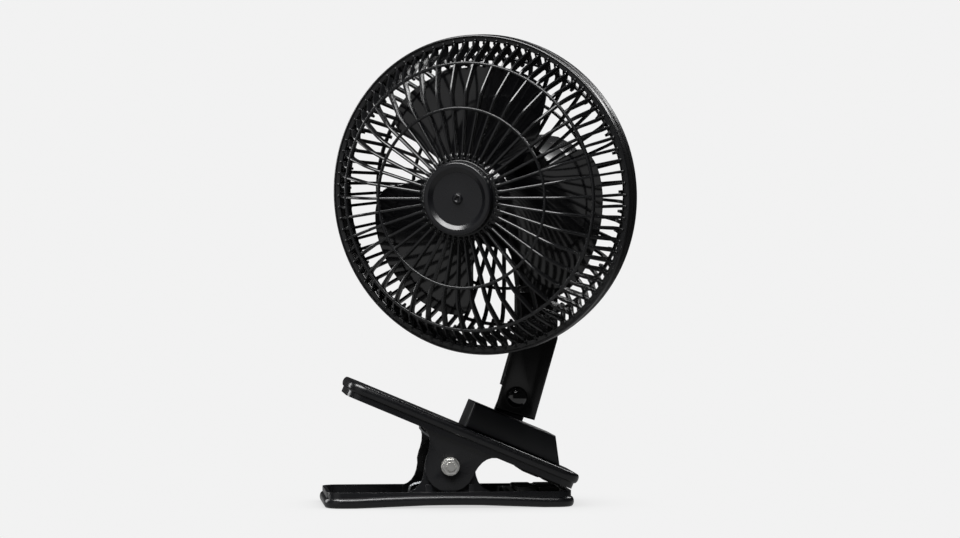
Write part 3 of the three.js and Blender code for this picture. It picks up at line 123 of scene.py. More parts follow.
lever_up = Vector(joints["speed_rocker_hinge"]["axis"]).normalized()
across = Vector((0, 1, 0))
JAW_LEAN = math.atan2(lever_up.x, lever_up.z)
LOWER = axes_at(place("clip_hinge"), (1, 0, 0), (0, -1, 0))
UPPER = axes_at(place("clip_hinge"), across.cross(lever_up), across)
NECK_LEAN = math.radians(16)
NECK = axes_at(place("neck_tilt"), (math.cos(NECK_LEAN), 0, -math.sin(NECK_LEAN)), across)
tilt_axis = Vector(joints["head_tilt"]["axis"])
shaft_axis = Vector(joints["fan_spin"]["axis"])
HEAD = axes_at(place("fan_spin"), tilt_axis, shaft_axis.cross(tilt_axis))
print("lever lean", round(math.degrees(JAW_LEAN), 2))

# %% [markdown]
# ## Mesh tools
# Three ways of making a form cover nearly every moulding here: turning a profile round an axis,
# sweeping a section along a line, and pushing an outline through a thickness. All of them take
# millimetres in a local frame and give a mesh in metres in the fan's own frame.

# %% Mesh tools
WELD = 1e-6  # metres; points nearer than this become one
CORNER_ROOM = 0.49  # of a side, the most that one rounded corner may take


def new_piece(name, points, faces, local, body, finish, slot, covers=(), angle=35):
    mesh = bpy.data.meshes.new(name)
    mesh.from_pydata([local @ (Vector(p) * MM) for p in points], [], faces)
    tool = bmesh.new()
    tool.from_mesh(mesh)
    bmesh.ops.remove_doubles(tool, verts=tool.verts, dist=WELD)
    bmesh.ops.recalc_face_normals(tool, faces=tool.faces)
    tool.to_mesh(mesh)
    tool.free()
    piece = bpy.data.objects.new(name, mesh)
    bpy.context.scene.collection.objects.link(piece)
    dress(piece, body, finish, covers, angle)
    return piece


def dress(piece, body, finish, covers=(), angle=35):
    piece.data.materials.clear()
    piece.data.materials.append(finish)
    piece.data.polygons.foreach_set("use_smooth", [True] * len(piece.data.polygons))
    piece.data.set_sharp_from_angle(angle=math.radians(angle))
    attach(piece, body)
    if covers:
        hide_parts(*covers)


def turned(profile, steps=96):
    """A closed profile of (radius, height) pairs turned about Z; radius 0 ends are caps."""
    points, faces = [], []
    count = len(profile)
    for k in range(steps):
        angle = 2 * math.pi * k / steps
        points += [(r * math.cos(angle), r * math.sin(angle), z) for r, z in profile]
    for k in range(steps):
        a, b = k * count, ((k + 1) % steps) * count
        for i in range(count):
            j = (i + 1) % count
            if profile[i][0] == 0 and profile[j][0] == 0:
                continue
            corners = [a + i, b + i, b + j, a + j]
            if profile[i][0] == 0:
                corners = [a + i, b + j, a + j]
            elif profile[j][0] == 0:
                corners = [a + i, b + i, a + j]
            faces.append(corners)
    return points, faces


def rounded(corners, radius, steps=4):
    """A closed outline with each corner rounded; a corner may bring its own radius."""
    out = []
    count = len(corners)
    for i, corner in enumerate(corners):
        here = Vector(corner[:2])
        own = corner[2] if len(corner) > 2 else radius
        before, after = Vector(corners[i - 1][:2]), Vector(corners[(i + 1) % count][:2])
        if own <= 0:
            out.append(tuple(here))
            continue
        one, two = (before - here).normalized(), (after - here).normalized()
        half = one.angle(two) / 2
        room = CORNER_ROOM * min((before - here).length, (after - here).length)
        reach = min(own / math.tan(half), room)
        start, end = here + one * reach, here + two * reach
        for k in range(steps + 1):
            t = k / steps
            out.append(tuple((1 - t) ** 2 * start + 2 * t * (1 - t) * here + t ** 2 * end))
    return out


def merged(*parts):
    points, faces = [], []
    for more_points, more_faces in parts:
        base = len(points)
        points += list(more_points)
        faces += [[base + i for i in face] for face in more_faces]
    return points, faces


def spun(part, angle):
    c, s = math.cos(angle), math.sin(angle)
    return [(x * c - y * s, x * s + y * c, z) for x, y, z in part[0]], part[1]


print("mesh tools ready")

# %% [markdown]
# ## Finishes
# Nearly everything is black plastic, and the photograph tells the mouldings apart by their gloss:
# polished blades and bolt head, satin cage, levers and neck, matt box. Each material mixes a fine
# moulded grain into its bump, lets the roughness wander a little, and lightens along faint flow
# marks. Noise in object space costs no images and follows every curve. The neck and the bolt head
# look deeper than the rest, so each gets a darker black of its own.

# %% Material tools
MARK_GAIN, MARK_FLOOR = 1.6, 0.001  # how far a flow mark lightens the plastic
DULLED = 0.72  # colour left in the darker marks of a metal


def node(tree, kind, **values):
    made = tree.nodes.new(kind)
    for key, value in values.items():
        setattr(made, key, value)
    return made


def moulded(name, color, rough, grain, grain_size, spread=0.06, coat=0.0):
    """Moulded plastic: fine grain in the bump, slow change in roughness, faint flow marks."""
    material = bpy.data.materials.new(name)
    material.use_nodes = True
    tree = material.node_tree
    shader = tree.nodes["Principled BSDF"]
    shader.inputs["Metallic"].default_value = 0
    shader.inputs["IOR"].default_value = 1.5
    shader.inputs["Coat Weight"].default_value = coat
    shader.inputs["Coat Roughness"].default_value = 0.05
    where = node(tree, "ShaderNodeTexCoord")
    fine = node(tree, "ShaderNodeTexNoise")
    fine.inputs["Scale"].default_value = grain_size
    fine.inputs["Detail"].default_value = 3
    slow = node(tree, "ShaderNodeTexNoise")
    slow.inputs["Scale"].default_value = 55
    slow.inputs["Detail"].default_value = 4
    flow = node(tree, "ShaderNodeTexNoise")
    flow.inputs["Scale"].default_value = 14
    flow.inputs["Distortion"].default_value = 1.2
    for texture in (fine, slow, flow):
        tree.links.new(where.outputs["Object"], texture.inputs["Vector"])
    mix = node(tree, "ShaderNodeMix", data_type="RGBA")
    mix.inputs["A"].default_value = (*color, 1)
    mix.inputs["B"].default_value = (*[c * MARK_GAIN + MARK_FLOOR for c in color], 1)
    tree.links.new(flow.outputs["Fac"], mix.inputs["Factor"])
    tree.links.new(mix.outputs["Result"], shader.inputs["Base Color"])
    range_node = node(tree, "ShaderNodeMapRange")
    range_node.inputs["From Min"].default_value = 0.3
    range_node.inputs["From Max"].default_value = 0.7
    range_node.inputs["To Min"].default_value = rough - spread
    range_node.inputs["To Max"].default_value = rough + spread
    tree.links.new(slow.outputs["Fac"], range_node.inputs["Value"])
    tree.links.new(range_node.outputs["Result"], shader.inputs["Roughness"])
    bump = node(tree, "ShaderNodeBump")
    bump.inputs["Strength"].default_value = grain
    bump.inputs["Distance"].default_value = 0.0002
    tree.links.new(fine.outputs["Fac"], bump.inputs["Height"])
    tree.links.new(bump.outputs["Normal"], shader.inputs["Normal"])
    return material


def metal(name, color, rough, scratch, size, stretch=(1, 1, 1)):
    """Plated or drawn metal: fine stretched scratches in bump and roughness."""
    material = bpy.data.materials.new(name)
    material.use_nodes = True
    tree = material.node_tree
    shader = tree.nodes["Principled BSDF"]
    shader.inputs["Metallic"].default_value = 1
    where = node(tree, "ShaderNodeTexCoord")
    scale = node(tree, "ShaderNodeMapping")
    scale.inputs["Scale"].default_value = stretch
    marks = node(tree, "ShaderNodeTexNoise")
    marks.inputs["Scale"].default_value = size
    marks.inputs["Detail"].default_value = 5
    tint = node(tree, "ShaderNodeMix", data_type="RGBA")
    tint.inputs["A"].default_value = (*color, 1)
    tint.inputs["B"].default_value = (*[c * DULLED for c in color], 1)
    spread = node(tree, "ShaderNodeMapRange")
    spread.inputs["To Min"].default_value = rough * 0.7
    spread.inputs["To Max"].default_value = rough * 1.5
    bump = node(tree, "ShaderNodeBump")
    bump.inputs["Strength"].default_value = scratch
    bump.inputs["Distance"].default_value = 0.0001
    tree.links.new(where.outputs["Object"], scale.inputs["Vector"])
    tree.links.new(scale.outputs["Vector"], marks.inputs["Vector"])
    tree.links.new(marks.outputs["Fac"], tint.inputs["Factor"])
    tree.links.new(tint.outputs["Result"], shader.inputs["Base Color"])
    tree.links.new(marks.outputs["Fac"], spread.inputs["Value"])
    tree.links.new(spread.outputs["Result"], shader.inputs["Roughness"])
    tree.links.new(marks.outputs["Fac"], bump.inputs["Height"])
    tree.links.new(bump.outputs["Normal"], shader.inputs["Normal"])
    return material


FINISH = {
    "satin_black": moulded("satin_black", (0.0028, 0.0029, 0.0036), 0.28, 0.010, 2600, 0.025),
    "grey_black": moulded("grey_black", (0.0038, 0.0039, 0.0043), 0.25, 0.008, 2200, 0.03),
    "gloss_black": moulded("gloss_black", (0.0018, 0.0018, 0.0022), 0.10, 0.02, 900, 0.03, 0.5),
    "slate_black": moulded("slate_black", (0.0034, 0.0039, 0.0054), 0.35, 0.05, 3000),
    "rubber_black": moulded("rubber_black", (0.0070, 0.0070, 0.0070), 0.72, 0.3, 1800),
    "zinc_steel": metal("zinc_steel", (0.94, 0.93, 0.90), 0.30, 0.15, 700, (1, 1, 3)),
    "spring_steel": metal("spring_steel", (0.32, 0.33, 0.34), 0.28, 0.2, 900),
    "copper": metal("copper", (0.55, 0.22, 0.09), 0.35, 0.5, 1400, (1, 1, 6)),
    "bronze": metal("bronze", (0.42, 0.28, 0.12), 0.45, 0.3, 1200),
    "laminate": metal("laminate", (0.30, 0.31, 0.32), 0.45, 0.6, 1500, (6, 6, 1)),
}
ARM_BLACK = moulded("arm_black", (0.0012, 0.0012, 0.0014), 0.22, 0.015, 2400, 0.04)
DOME_BLACK = moulded("dome_black", (0.0015, 0.0015, 0.0018), 0.08, 0.01, 900, 0.02, 1.0)
print("finishes", ", ".join(FINISH))

# %% [markdown]
# ## Solids that stay
# Small turned and flat parts are already right in the solids, so they only need their finish. All
# the solids get it here; the mouldings and nuts are covered by finer pieces in the cells below.

# %% Carry over the solids
SLOT_OF = {row["node"]: row["material_slot"] for row in frame["record"]["subparts"]}
for name, solid in nodes.items():
    solid.data.materials.clear()
    solid.data.materials.append(FINISH[SLOT_OF[name]])
print("carried over", len(nodes))

# %% [markdown]
# ## Cage ribs
# The front guard is one moulding: 42 bent ribs from the collar to the rim, 42 short ones between
# them in the side wall, and two rings. A real rib is a thin bar with a rounded front that catches a
# line of light. Sweeping a rounded section along a softened line gives that, where a flat strip
# would look like cut card. Small nubs sit where the ribs meet the rim and round the collar. One
# rib of each kind is drawn, and then turned round the axis.

# %% Front guard
RIM_RADIUS = 91.0
RIB_COUNT = 42
FACE_DEPTH, WALL_DEPTH = 3.7, 5.2
BEND_ROOM = 0.48  # of a stretch, the most that one softened bend may take


def softened(line, reach, steps=5):
    """An open line with its inner corners turned into curves that start `reach` before them."""
    out = [Vector(line[0])]
    for before, here, after in zip(line, line[1:], line[2:]):
        before, here, after = Vector(before), Vector(here), Vector(after)
        soft = min(reach, BEND_ROOM * min((before - here).length, (after - here).length))
        start = here + (before - here).normalized() * soft
        end = here + (after - here).normalized() * soft
        for k in range(steps + 1):
            t = k / steps
            out.append((1 - t) ** 2 * start + 2 * t * (1 - t) * here + t ** 2 * end)
    out.append(Vector(line[-1]))
    return out


def rib_section(depth, width=1.5, side=1):
    """A narrow bar's cut: softly rounded face, straight flanks, standing `depth` off the face."""
    half = width / 2
    cut = [(-half * 0.86, -depth), (-half, -0.75), (-half * 0.8, -0.25), (-half * 0.4, -0.03),
           (half * 0.4, -0.03), (half * 0.8, -0.25), (half, -0.75), (half * 0.86, -depth)]
    return [(x, y * side) for x, y in cut]


def swept_rib(line, depths, width=1.5, side=1):
    """A bar along a (radius, front) line; its depth runs between the two ends of `depths`."""
    points, faces = [], []
    run = [0.0]
    for one, two in zip(line, line[1:]):
        run.append(run[-1] + (two - one).length)
    for i, here in enumerate(line):
        before, after = line[max(i - 1, 0)], line[min(i + 1, len(line) - 1)]
        along = (after - before).normalized()
        normal = Vector((-along.y, along.x))
        share = min(1.0, max(0.0, 1.6 * run[i] / run[-1] - 0.45))
        section = rib_section(depths[0] + (depths[1] - depths[0]) * share, width, side)
        for off, depth in section:
            spot = here + normal * depth
            points.append((spot.x, off, spot.y))
    count = len(section)
    for i in range(len(line) - 1):
        for k in range(count):
            a, b = i * count + k, i * count + (k + 1) % count
            faces.append([a, b, b + count, a + count])
    faces.append(list(range(count)))
    faces.append([(len(line) - 1) * count + k for k in range(count)])
    return points, faces


def hoop(radius, front, width, depth, steps=168):
    """A round ring with softened corners; `front` is its foremost plane."""
    half = width / 2
    section = rounded([(radius - half, front - depth), (radius + half, front - depth),
                       (radius + half, front), (radius - half, front)], min(width, depth) * 0.45, 3)
    return turned(section, steps)


main_line = softened([(19.5, 27.6), (60, 27), (79, 14.6), (86.6, -0.1), (88.4, -0.5)], 5)
side_line = softened([(75.2, 16.6), (79, 14.3), (86.6, -0.1), (88.4, -0.5)], 4)
root_line = [Vector(p) for p in ((20.2, 27.9), (23.5, 27.9), (25.6, 27.2), (26.6, 26.0))]


def bead(radius, front, size, steps=(5, 8)):
    """A small round nub on the cage, its crown at `front`."""
    points, faces = [(radius, 0, front)], []
    for i in range(1, steps[0] + 1):
        lift = math.pi * 0.6 * i / steps[0]
        points += [(radius + size * math.sin(lift) * math.cos(2 * math.pi * k / steps[1]),
                    size * math.sin(lift) * math.sin(2 * math.pi * k / steps[1]),
                    front - size * (1 - math.cos(lift))) for k in range(steps[1])]
    for k in range(steps[1]):
        faces.append([0, 1 + k, 1 + (k + 1) % steps[1]])
        for i in range(steps[0] - 1):
            a, b = 1 + i * steps[1] + k, 1 + i * steps[1] + (k + 1) % steps[1]
            faces.append([a, a + steps[1], b + steps[1], b])
    last = len(points) - steps[1]
    faces.append([last + k for k in range(steps[1])])
    return points, faces


main_rib = swept_rib(main_line, (FACE_DEPTH, WALL_DEPTH))
side_rib = swept_rib(side_line, (FACE_DEPTH, WALL_DEPTH))
root_rib = swept_rib(root_line, (2.3, 2.3), 2.2)
rim_bead = bead(88.0, 0.25, 0.9)
inner_bead, outer_bead = bead(22.6, 28.6, 0.62), bead(24.6, 28.3, 0.62)
parts = []
for k in range(RIB_COUNT):
    turn, half = 2 * math.pi * k / RIB_COUNT, math.pi / RIB_COUNT
    parts += [spun(main_rib, turn), spun(root_rib, turn), spun(side_rib, turn + half),
              spun(rim_bead, turn), spun(rim_bead, turn + half),
              spun(inner_bead, turn + half), spun(outer_bead, turn)]
rim_section = rounded([(88.3, -8.6, 0.2), (RIM_RADIUS, -8.6, 0.3), (RIM_RADIUS, -6.9, 0.2),
                       (90.5, -6.6, 0.2), (90.5, -6.1, 0.2), (RIM_RADIUS, -5.8, 0.2),
                       (RIM_RADIUS, -0.5, 1.2), (90.3, 0, 0.5), (89.9, 0, 0.2), (89.6, -0.7, 0.3),
                       (87.2, -0.9, 0.4), (87.0, -2.4, 0.4), (88.2, -3.2, 0.6)], 1, 4)
collar_section = rounded([(17, 24.8), (21.6, 24.8), (21.6, 28.4, 0.7), (17, 28.4, 0.2)], 0.2, 4)
front_guard = new_piece(
    "front_guard", *merged(*parts, turned(rim_section, 192), turned(collar_section, 128),
                           hoop(50.5, 27.5, 1.7, 2.0), hoop(75.4, 17.2, 1.8, 2.2)),
    HEAD, "head", FINISH["grey_black"], "grey_black", ["front_grille"])
print("front guard faces", len(front_guard.data.polygons))

# %% [markdown]
# ## Rear guard
# Seen through the front, the rear guard's ribs make a lattice with the front ones. It is a
# shallower basket: ribs from a hub plate, out flat, round a soft corner and forward to a thin rear
# rim, with as many short ribs between them in its side. The same sweep makes it, with the rounded
# face turned to the back.

# %% Rear guard
REAR_RIBS, REAR_DEPTHS, REAR_WIDTH = 42, (3.2, 3.6), 1.7
REAR_RADIUS = RIM_RADIUS - 0.8
rear_line = softened([(31.5, -37.6), (56, -36.2), (76, -32.4), (88.6, -15)], 7)
rear_side_line = softened([(75, -32.4), (77.5, -30.8), (88.6, -15)], 3)
rear_rib = swept_rib(rear_line, REAR_DEPTHS, REAR_WIDTH, -1)
rear_side_rib = swept_rib(rear_side_line, REAR_DEPTHS, REAR_WIDTH, -1)
parts = []
for k in range(REAR_RIBS):
    turn = 2 * math.pi * (k + 0.5) / REAR_RIBS
    parts += [spun(rear_rib, turn), spun(rear_side_rib, turn + math.pi / REAR_RIBS)]
rear_rim = rounded([(87.2, -16.6, 0.4), (RIM_RADIUS - 2.6, -16.6, 1.0), (REAR_RADIUS, -14, 1.5),
                    (REAR_RADIUS, -8.9, 0.3), (88.3, -8.9, 0.2), (88.2, -14, 0.6)], 1, 5)
plate = rounded([(19, -38), (33, -38, 0.6), (33, -35.6, 0.6), (19, -35.6)], 0.3, 3)
rear_guard = new_piece(
    "rear_guard", *merged(*parts, turned(rear_rim, 192), turned(plate, 128),
                          hoop(56, -34.0, 1.8, 2.4), hoop(76.6, -29.6, 1.9, 2.8)),
    HEAD, "head", FINISH["satin_black"], "satin_black", ["rear_grille"])
print("rear guard faces", len(rear_guard.data.polygons))

# %% [markdown]
# ## Hub cap
# The cap is a turned form: an upright wall, a flat raised rim, a band that slopes inwards from it
# to a flat sunken face, and a small boss with a dimple in the middle. The sloping band gives the
# arcs of light in the photograph, and turning one profile keeps it even all the way round.

# %% Hub cap
SEAT = 28.7
cap_profile = [(0, SEAT - 2.4), (16.7, SEAT - 2.4), (16.7, SEAT), (20.3, SEAT), (20.6, SEAT + 0.3),
               (20.6, SEAT + 3.2), (20.45, SEAT + 3.7), (20.0, SEAT + 4.1), (19.5, SEAT + 4.2),
               (17.6, SEAT + 4.3), (17.35, SEAT + 4.25), (17.15, SEAT + 4.1), (15.2, SEAT + 2.7),
               (15.0, SEAT + 2.6), (14.7, SEAT + 2.56), (8, SEAT + 2.48), (3.5, SEAT + 2.45),
               (3.2, SEAT + 2.5), (2.9, SEAT + 2.8), (2.6, SEAT + 3.4), (2.2, SEAT + 3.7),
               (1.5, SEAT + 3.7), (1.0, SEAT + 3.3), (0.7, SEAT + 2.9), (0, SEAT + 2.8)]
hub_cover = new_piece("hub_cover", *turned(cap_profile, 128), HEAD, "head", FINISH["satin_black"],
                      "satin_black", ["hub_cap"])
print("hub cap faces", len(hub_cover.data.polygons))

# %% [markdown]
# ## Blades
# Three wide blades sweep out of one hub. Each is a thin twisted sheet: it leaves the hub steeply
# pitched, flattens towards the tip, and its outer corners are rounded. The sheet is drawn as a fine
# grid of points from one rule, and grows thinner towards its edges. Where the blade edges show
# through the cage, the photograph has the wheel further forward than the solids, and its blades
# flatter and more bowed, so the wheel is drawn that way and its nut moves with it.

# %% Blades
HUB_RADIUS, TIP_RADIUS, HUB_FRONT, HUB_DEPTH = 17.0, 73.0, -1.5, 20.0
SOLID_FRONT = -6.0
FORWARD = HUB_FRONT - SOLID_FRONT
ROOT_SPAN, TIP_SPAN, BLADE_START, BLADE_SWEEP = 100, 87, -30, 10
PITCH_DEPTH, UNTWIST, BOW, CORNER, THICKNESS = 19.0, 0.3, 4.5, 0.14, 1.5
ROUNDING, FADE_START, FADE_LENGTH = 5, 0.4, 0.35
THINNING, THINNEST = 6, 0.25


def blade_point(share, sweep):
    """`share` runs from hub to tip, `sweep` from the leading edge behind to the trailing one."""
    root = HUB_RADIUS - THICKNESS
    radius = root + (TIP_RADIUS - root) * share
    rounding = math.sqrt(max(0.0, 1 - abs(2 * sweep - 1) ** ROUNDING))
    fade = max(0.0, min(1.0, (share - FADE_START) / FADE_LENGTH))
    reach = radius * (1 - CORNER * fade * (1 - rounding))
    span = ROOT_SPAN + (TIP_SPAN - ROOT_SPAN) * share
    angle = math.radians(BLADE_START + BLADE_SWEEP * share + span * (sweep - 0.5))
    bow = BOW * math.sin(math.pi * sweep) * share
    depth = HUB_FRONT - HUB_DEPTH / 2 + PITCH_DEPTH * (1 - UNTWIST * share) * (sweep - 0.5) + bow
    return Vector((reach * math.cos(angle), reach * math.sin(angle), depth))


def blade_sheet(rows=18, columns=36):
    points, faces = [], []
    for side in (0.5, -0.5):
        for i in range(rows):
            for j in range(columns):
                u = 0.5 - 0.5 * math.cos(math.pi * j / (columns - 1))
                edge = min(1.0, THINNING * min(u, 1 - u) + THINNEST,
                           THINNING * (1 - i / (rows - 1)) + THINNEST)
                spot = blade_point(i / (rows - 1), u)
                points.append((spot.x, spot.y, spot.z + side * THICKNESS * edge))
    size = rows * columns
    for i in range(rows - 1):
        for j in range(columns - 1):
            a = i * columns + j
            faces.append([a, a + columns, a + columns + 1, a + 1])
            faces.append([size + a, size + a + 1, size + a + columns + 1, size + a + columns])
    rim = ([i * columns for i in range(rows)]
           + [(rows - 1) * columns + j for j in range(1, columns)]
           + [i * columns + columns - 1 for i in range(rows - 2, -1, -1)]
           + [j for j in range(columns - 2, 0, -1)])
    for a, b in zip(rim, rim[1:] + rim[:1]):
        faces.append([a, b, b + size, a + size])
    return points, faces


BORE = 2.6
hub_profile = rounded([(BORE, FORWARD - 22, 0), (6, FORWARD - 22, 0.3), (6, FORWARD - 9, 0.3),
                       (15, FORWARD - 9, 0.3), (15, FORWARD - 26, 0.3),
                       (HUB_RADIUS, FORWARD - 26, 0.3), (HUB_RADIUS, FORWARD - 8.6, 2.2),
                       (13.4, HUB_FRONT, 1.2), (BORE, HUB_FRONT, 0)], 0.3, 5)
blade = blade_sheet()
blades = [spun(blade, 2 * math.pi * k / 3) for k in range(3)]
wheel = new_piece("fan_wheel", *merged(*blades, turned(hub_profile, 96)), HEAD, "rotor",
                  FINISH["gloss_black"], "gloss_black", ["fan_blade"], 50)
print("wheel faces", len(wheel.data.polygons))

# %% [markdown]
# ## Softened solids
# The levers, box, neck and motor housings are mouldings with many cuts, and the nuts have crisp
# corners. Their solids already have the right walls and holes, so each is copied, its flat faces
# are merged back into whole faces, and its sharp edges get a small round bevel. That keeps every
# size and adds the light on the edges. The blade nut's copy then follows the wheel.

# %% Softened copies
FLAT_WITHIN, EDGE_FROM, BEVEL_STEPS = 1.5, 24, 3  # degrees, degrees, steps round an edge
SOFTENED = {"lower_lever": 0.5, "upper_lever": 0.5, "switch_box": 0.5, "neck_arm": 0.5,
            "swivel_yoke": 0.5, "front_housing": 0.6, "rear_housing": 0.6, "speed_rocker": 0.4,
            "cord_gland": 0.3, "clip_nut": 0.35, "neck_nut": 0.35, "swivel_nut": 0.35,
            "tilt_nut": 0.3, "blade_nut": 0.3}


def softened_copy(name, node_name, width, finish):
    source = nodes[node_name]
    body = body_of(source)[0]
    piece = bpy.data.objects.new(name, source.data.copy())
    bpy.context.scene.collection.objects.link(piece)
    tool = bmesh.new()
    tool.from_mesh(piece.data)
    bmesh.ops.remove_doubles(tool, verts=tool.verts, dist=2 * WELD)
    bmesh.ops.dissolve_limit(tool, angle_limit=math.radians(FLAT_WITHIN), verts=tool.verts,
                             edges=tool.edges)
    tool.to_mesh(piece.data)
    tool.free()
    bevel = piece.modifiers.new("edges", "BEVEL")
    bevel.width = width * MM
    bevel.segments = BEVEL_STEPS
    bevel.limit_method = "ANGLE"
    bevel.angle_limit = math.radians(EDGE_FROM)
    graph = bpy.context.evaluated_depsgraph_get()
    mesh = bpy.data.meshes.new_from_object(piece.evaluated_get(graph))
    piece.modifiers.clear()
    piece.data = mesh
    dress(piece, body, finish, [node_name], 38)
    return piece


for node_name, width in SOFTENED.items():
    kept_slot = SLOT_OF[node_name]
    finish = ARM_BLACK if node_name in ("neck_arm", "swivel_yoke") else FINISH[kept_slot]
    made = softened_copy(node_name + "_soft", node_name, width, finish)
    print(node_name, len(made.data.polygons))
for vertex in bpy.data.objects["blade_nut_soft"].data.vertices:
    vertex.co += shaft_axis.normalized() * (FORWARD * MM)

# %% [markdown]
# ## Lever bands
# Each lever has a thick rounded band round its outer edge, proud of the flat skirt below it. It is
# what the eye follows along the clip, and it draws the long line of light in the photograph. A
# rounded section is carried once round the lever's outline; on the lower lever it rises with the
# arched sole.

# %% Lever bands
LEVER_HALF, LEVER_TRIM = 73.0, 0.98
BAND_REACH, BAND_HALF, BAND_CORNER = LEVER_HALF * LEVER_TRIM, 33.0, 9.0
SOLE_RISE, SOLE_REACH = 1.6, 56.6
PROUD, INSET, HALF_HEIGHT, ROOT, BAND_STEPS = 1.7, -0.1, 2.9, -1.0, 14
band_curve = [math.pi * (k / BAND_STEPS - 0.5) for k in range(BAND_STEPS + 1)]
band_section = [(ROOT, -HALF_HEIGHT),
                *[(INSET + PROUD * math.cos(a), HALF_HEIGHT * math.sin(a)) for a in band_curve],
                (ROOT, HALF_HEIGHT)]


def trimmed(name, local):
    """The lever a touch shorter, its flat edge drawn in to the skirt so that the band covers it."""
    mesh = bpy.data.objects[name].data
    back = local.inverted()
    for vertex in mesh.vertices:
        spot = back @ vertex.co
        x = max(-LEVER_HALF, min(LEVER_HALF, spot.x / MM)) * LEVER_TRIM
        y = max(-BAND_HALF, min(BAND_HALF, spot.y / MM))
        vertex.co = local @ Vector((x * MM, y * MM, spot.z))
    mesh.update()


trimmed("upper_lever_soft", UPPER)
trimmed("lower_lever_soft", LOWER)


def band_path(steps=10, straight=14):
    """The lever's outline seen from above, as points with the direction that faces outwards."""
    path = []
    for corner, (sx, sy) in enumerate(((1, 1), (-1, 1), (-1, -1), (1, -1))):
        centre = Vector((sx * (BAND_REACH - BAND_CORNER), sy * (BAND_HALF - BAND_CORNER)))
        for k in range(steps + 1):
            angle = math.pi / 2 * (corner + k / steps)
            out = Vector((math.cos(angle), math.sin(angle)))
            path.append((centre + out * BAND_CORNER, out))
        if corner in (0, 2):
            span = 2 * (BAND_REACH - BAND_CORNER)
            path += [(path[-1][0] - Vector((sx * span * k / straight, 0)), Vector((0, sy)))
                     for k in range(1, straight)]
    return path


def lever_band(name, local, body, middle, rise):
    """In both levers' frames Z points outwards; `middle` is how far out the band's middle is."""
    path, points, faces = band_path(), [], []
    for spot, out in path:
        lift = rise * max(0.0, 1 - (spot.x / SOLE_REACH) ** 2)
        points += [(spot.x + out.x * o, spot.y + out.y * o, middle + (z - lift))
                   for o, z in band_section]
    count = len(band_section)
    for i in range(len(path)):
        j = (i + 1) % len(path)
        for k in range(count):
            faces.append([i * count + k, i * count + (k + 1) % count,
                          j * count + (k + 1) % count, j * count + k])
    return new_piece(name, points, faces, local, body, FINISH["satin_black"], "satin_black")


upper_band = lever_band("upper_band", UPPER, "upper_jaw", middle=21.2, rise=0)
lower_band = lever_band("lower_band", LOWER, "lower_jaw", middle=21.05, rise=SOLE_RISE)
print("bands", len(upper_band.data.polygons) + len(lower_band.data.polygons))

# %% [markdown]
# ## Dome bolt
# The neck's pivot bolt has a polished domed head. It is turned again with enough steps to carry a
# clean reflection of the softbox.

# %% Dome bolt
ARM_FACE, RECESS, SEAT_GAP = 8, 0.9, 0.3
DOME_SEAT = -ARM_FACE + RECESS - SEAT_GAP
DOME_RADIUS, DOME_RISE, DOME_LIP, DOME_STEPS = 6, 3.4, 1, 12
SHANK_RADIUS, SHANK_END, CHAMFER = 2.5, 15.4, 0.4
dome = [(0, DOME_SEAT - DOME_LIP - DOME_RISE)]
for k in range(1, DOME_STEPS + 1):
    angle = math.pi / 2 * k / DOME_STEPS
    dome.append((DOME_RADIUS * math.sin(angle),
                 DOME_SEAT - DOME_LIP - DOME_RISE * math.cos(angle)))
dome += [(DOME_RADIUS, DOME_SEAT), (SHANK_RADIUS, DOME_SEAT), (SHANK_RADIUS, SHANK_END - CHAMFER),
         (SHANK_RADIUS - CHAMFER, SHANK_END), (0, SHANK_END)]
BOLT = NECK @ Matrix.Rotation(-math.pi / 2, 4, "X")
dome_bolt = new_piece("dome_bolt", *turned(dome, 72), BOLT, "neck", DOME_BLACK,
                      "gloss_black", ["neck_bolt"])
print("dome bolt faces", len(dome_bolt.data.polygons))

# %% [markdown]
# ## Studio
# The photograph's ground is an even pale grey with no horizon, and its black plastic stays black:
# the room around the camera was dark, with a few soft lights in it. So the pale floor and the wall
# it curves into glow evenly and only meet the camera's eye, the floor is a little darker under the
# fan where less light gets in, and large soft lights draw the highlights. A real pale floor also
# sends a little light up, so a dim disc that the camera doesn't see glows just under it.

# %% Studio
GROUND = 0.887


def ground_finish(name, contact, strength=1.0):
    material = bpy.data.materials.new(name)
    material.use_nodes = True
    tree = material.node_tree
    tree.nodes.clear()
    glow = node(tree, "ShaderNodeEmission")
    glow.inputs["Color"].default_value = (GROUND, GROUND, GROUND, 1)
    glow.inputs["Strength"].default_value = strength
    out = node(tree, "ShaderNodeOutputMaterial")
    tree.links.new(glow.outputs["Emission"], out.inputs["Surface"])
    if contact:
        near = node(tree, "ShaderNodeAmbientOcclusion", samples=16)
        near.inputs["Distance"].default_value = 0.05
        level = node(tree, "ShaderNodeMapRange")
        level.inputs["To Min"].default_value = 1 - contact
        tree.links.new(near.outputs["AO"], level.inputs["Value"])
        tree.links.new(level.outputs["Result"], glow.inputs["Strength"])
    return material


def ground_piece(name, profile, contact, strength=1.0, steps=72):
    points = [(r * math.cos(2 * math.pi * k / steps), r * math.sin(2 * math.pi * k / steps), z)
              for k in range(steps) for r, z in profile]
    count = len(profile)
    faces = [[k * count + i, ((k + 1) % steps) * count + i, ((k + 1) % steps) * count + i + 1,
              k * count + i + 1] for k in range(steps) for i in range(count - 1)]
    mesh = bpy.data.meshes.new(name)
    mesh.from_pydata(points, [], faces)
    mesh.polygons.foreach_set("use_smooth", [True] * len(faces))
    sheet = bpy.data.objects.new(name, mesh)
    bpy.context.scene.collection.objects.link(sheet)
    mesh.materials.append(ground_finish(name, contact, strength))
    sheet.visible_shadow = False
    return sheet


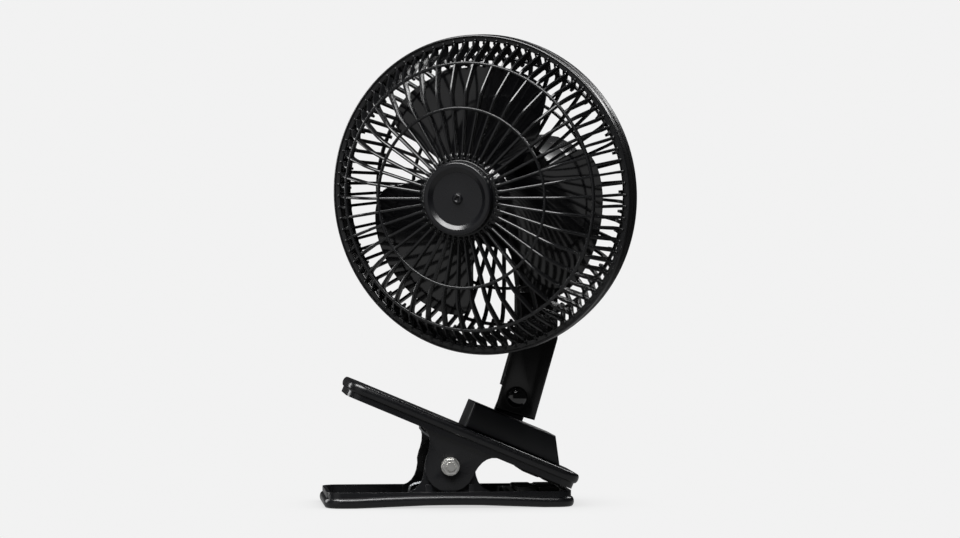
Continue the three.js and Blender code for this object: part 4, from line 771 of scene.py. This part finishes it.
def soft_light(name, spot, target, width, height, watts):
    data = bpy.data.lights.new(name, "AREA")
    data.shape = "RECTANGLE"
    data.size, data.size_y = width, height
    data.energy = watts
    lamp = bpy.data.objects.new(name, data)
    bpy.context.scene.collection.objects.link(lamp)
    lamp.location = spot
    lamp.rotation_euler = (Vector(target) - Vector(spot)).to_track_quat("-Z", "Y").to_euler()


PINHOLE, FLOOR_RADIUS = 0.0001, 1.0
BEND_START, BEND_RADIUS, BEND_STEPS = 3.2, 0.8, 12
UNDER = -0.002
floor = ground_piece("floor", [(PINHOLE, 0), (0.1, 0), (0.3, 0), (FLOOR_RADIUS, 0)], 0.3)
bend = [(BEND_START + BEND_RADIUS * math.sin(a), BEND_RADIUS - BEND_RADIUS * math.cos(a))
        for a in (math.pi / 2 / BEND_STEPS * k for k in range(BEND_STEPS + 1))]
wall = ground_piece("wall", [(FLOOR_RADIUS, 0)] + bend + [(4.0, 5.0), (0.001, 5.2)], 0)
under_glow = ground_piece("under_glow", [(PINHOLE, UNDER), (0.2, UNDER), (0.4, UNDER)], 0, 0.36)
under_glow.visible_camera = False
for sheet in (floor, wall):
    sheet.visible_diffuse = False
    sheet.visible_glossy = False
LAMPS = {  # metres and watts: place, height aimed at, width, height, power
    "key_light": ((-0.64, -0.69, 1.45), 0.15, 1.3, 0.7, 44),
    "front_light": ((-0.1, -1.12, 1.2), 0.12, 0.6, 0.45, 11),
    "right_light": ((0.92, 0.72, 1.24), 0.15, 0.4, 1.0, 15),
    "left_light": ((-1.25, 0.85, 0.55), 0.15, 0.5, 0.9, 9),
    "left_glow": ((-1.0, -0.86, 0.1), 0.16, 1.0, 0.7, 0.8),
}
for name, (spot, aim, width, height, watts) in LAMPS.items():
    soft_light(name, spot, (0, 0, aim), width, height, watts)
world = bpy.data.worlds.new("studio")
world.use_nodes = True
world.node_tree.nodes["Background"].inputs["Color"].default_value = (1, 1, 1, 1)
world.node_tree.nodes["Background"].inputs["Strength"].default_value = 0.02
bpy.context.scene.world = world
bpy.context.scene.view_settings.view_transform = "Standard"
print("soft lights", len(LAMPS))
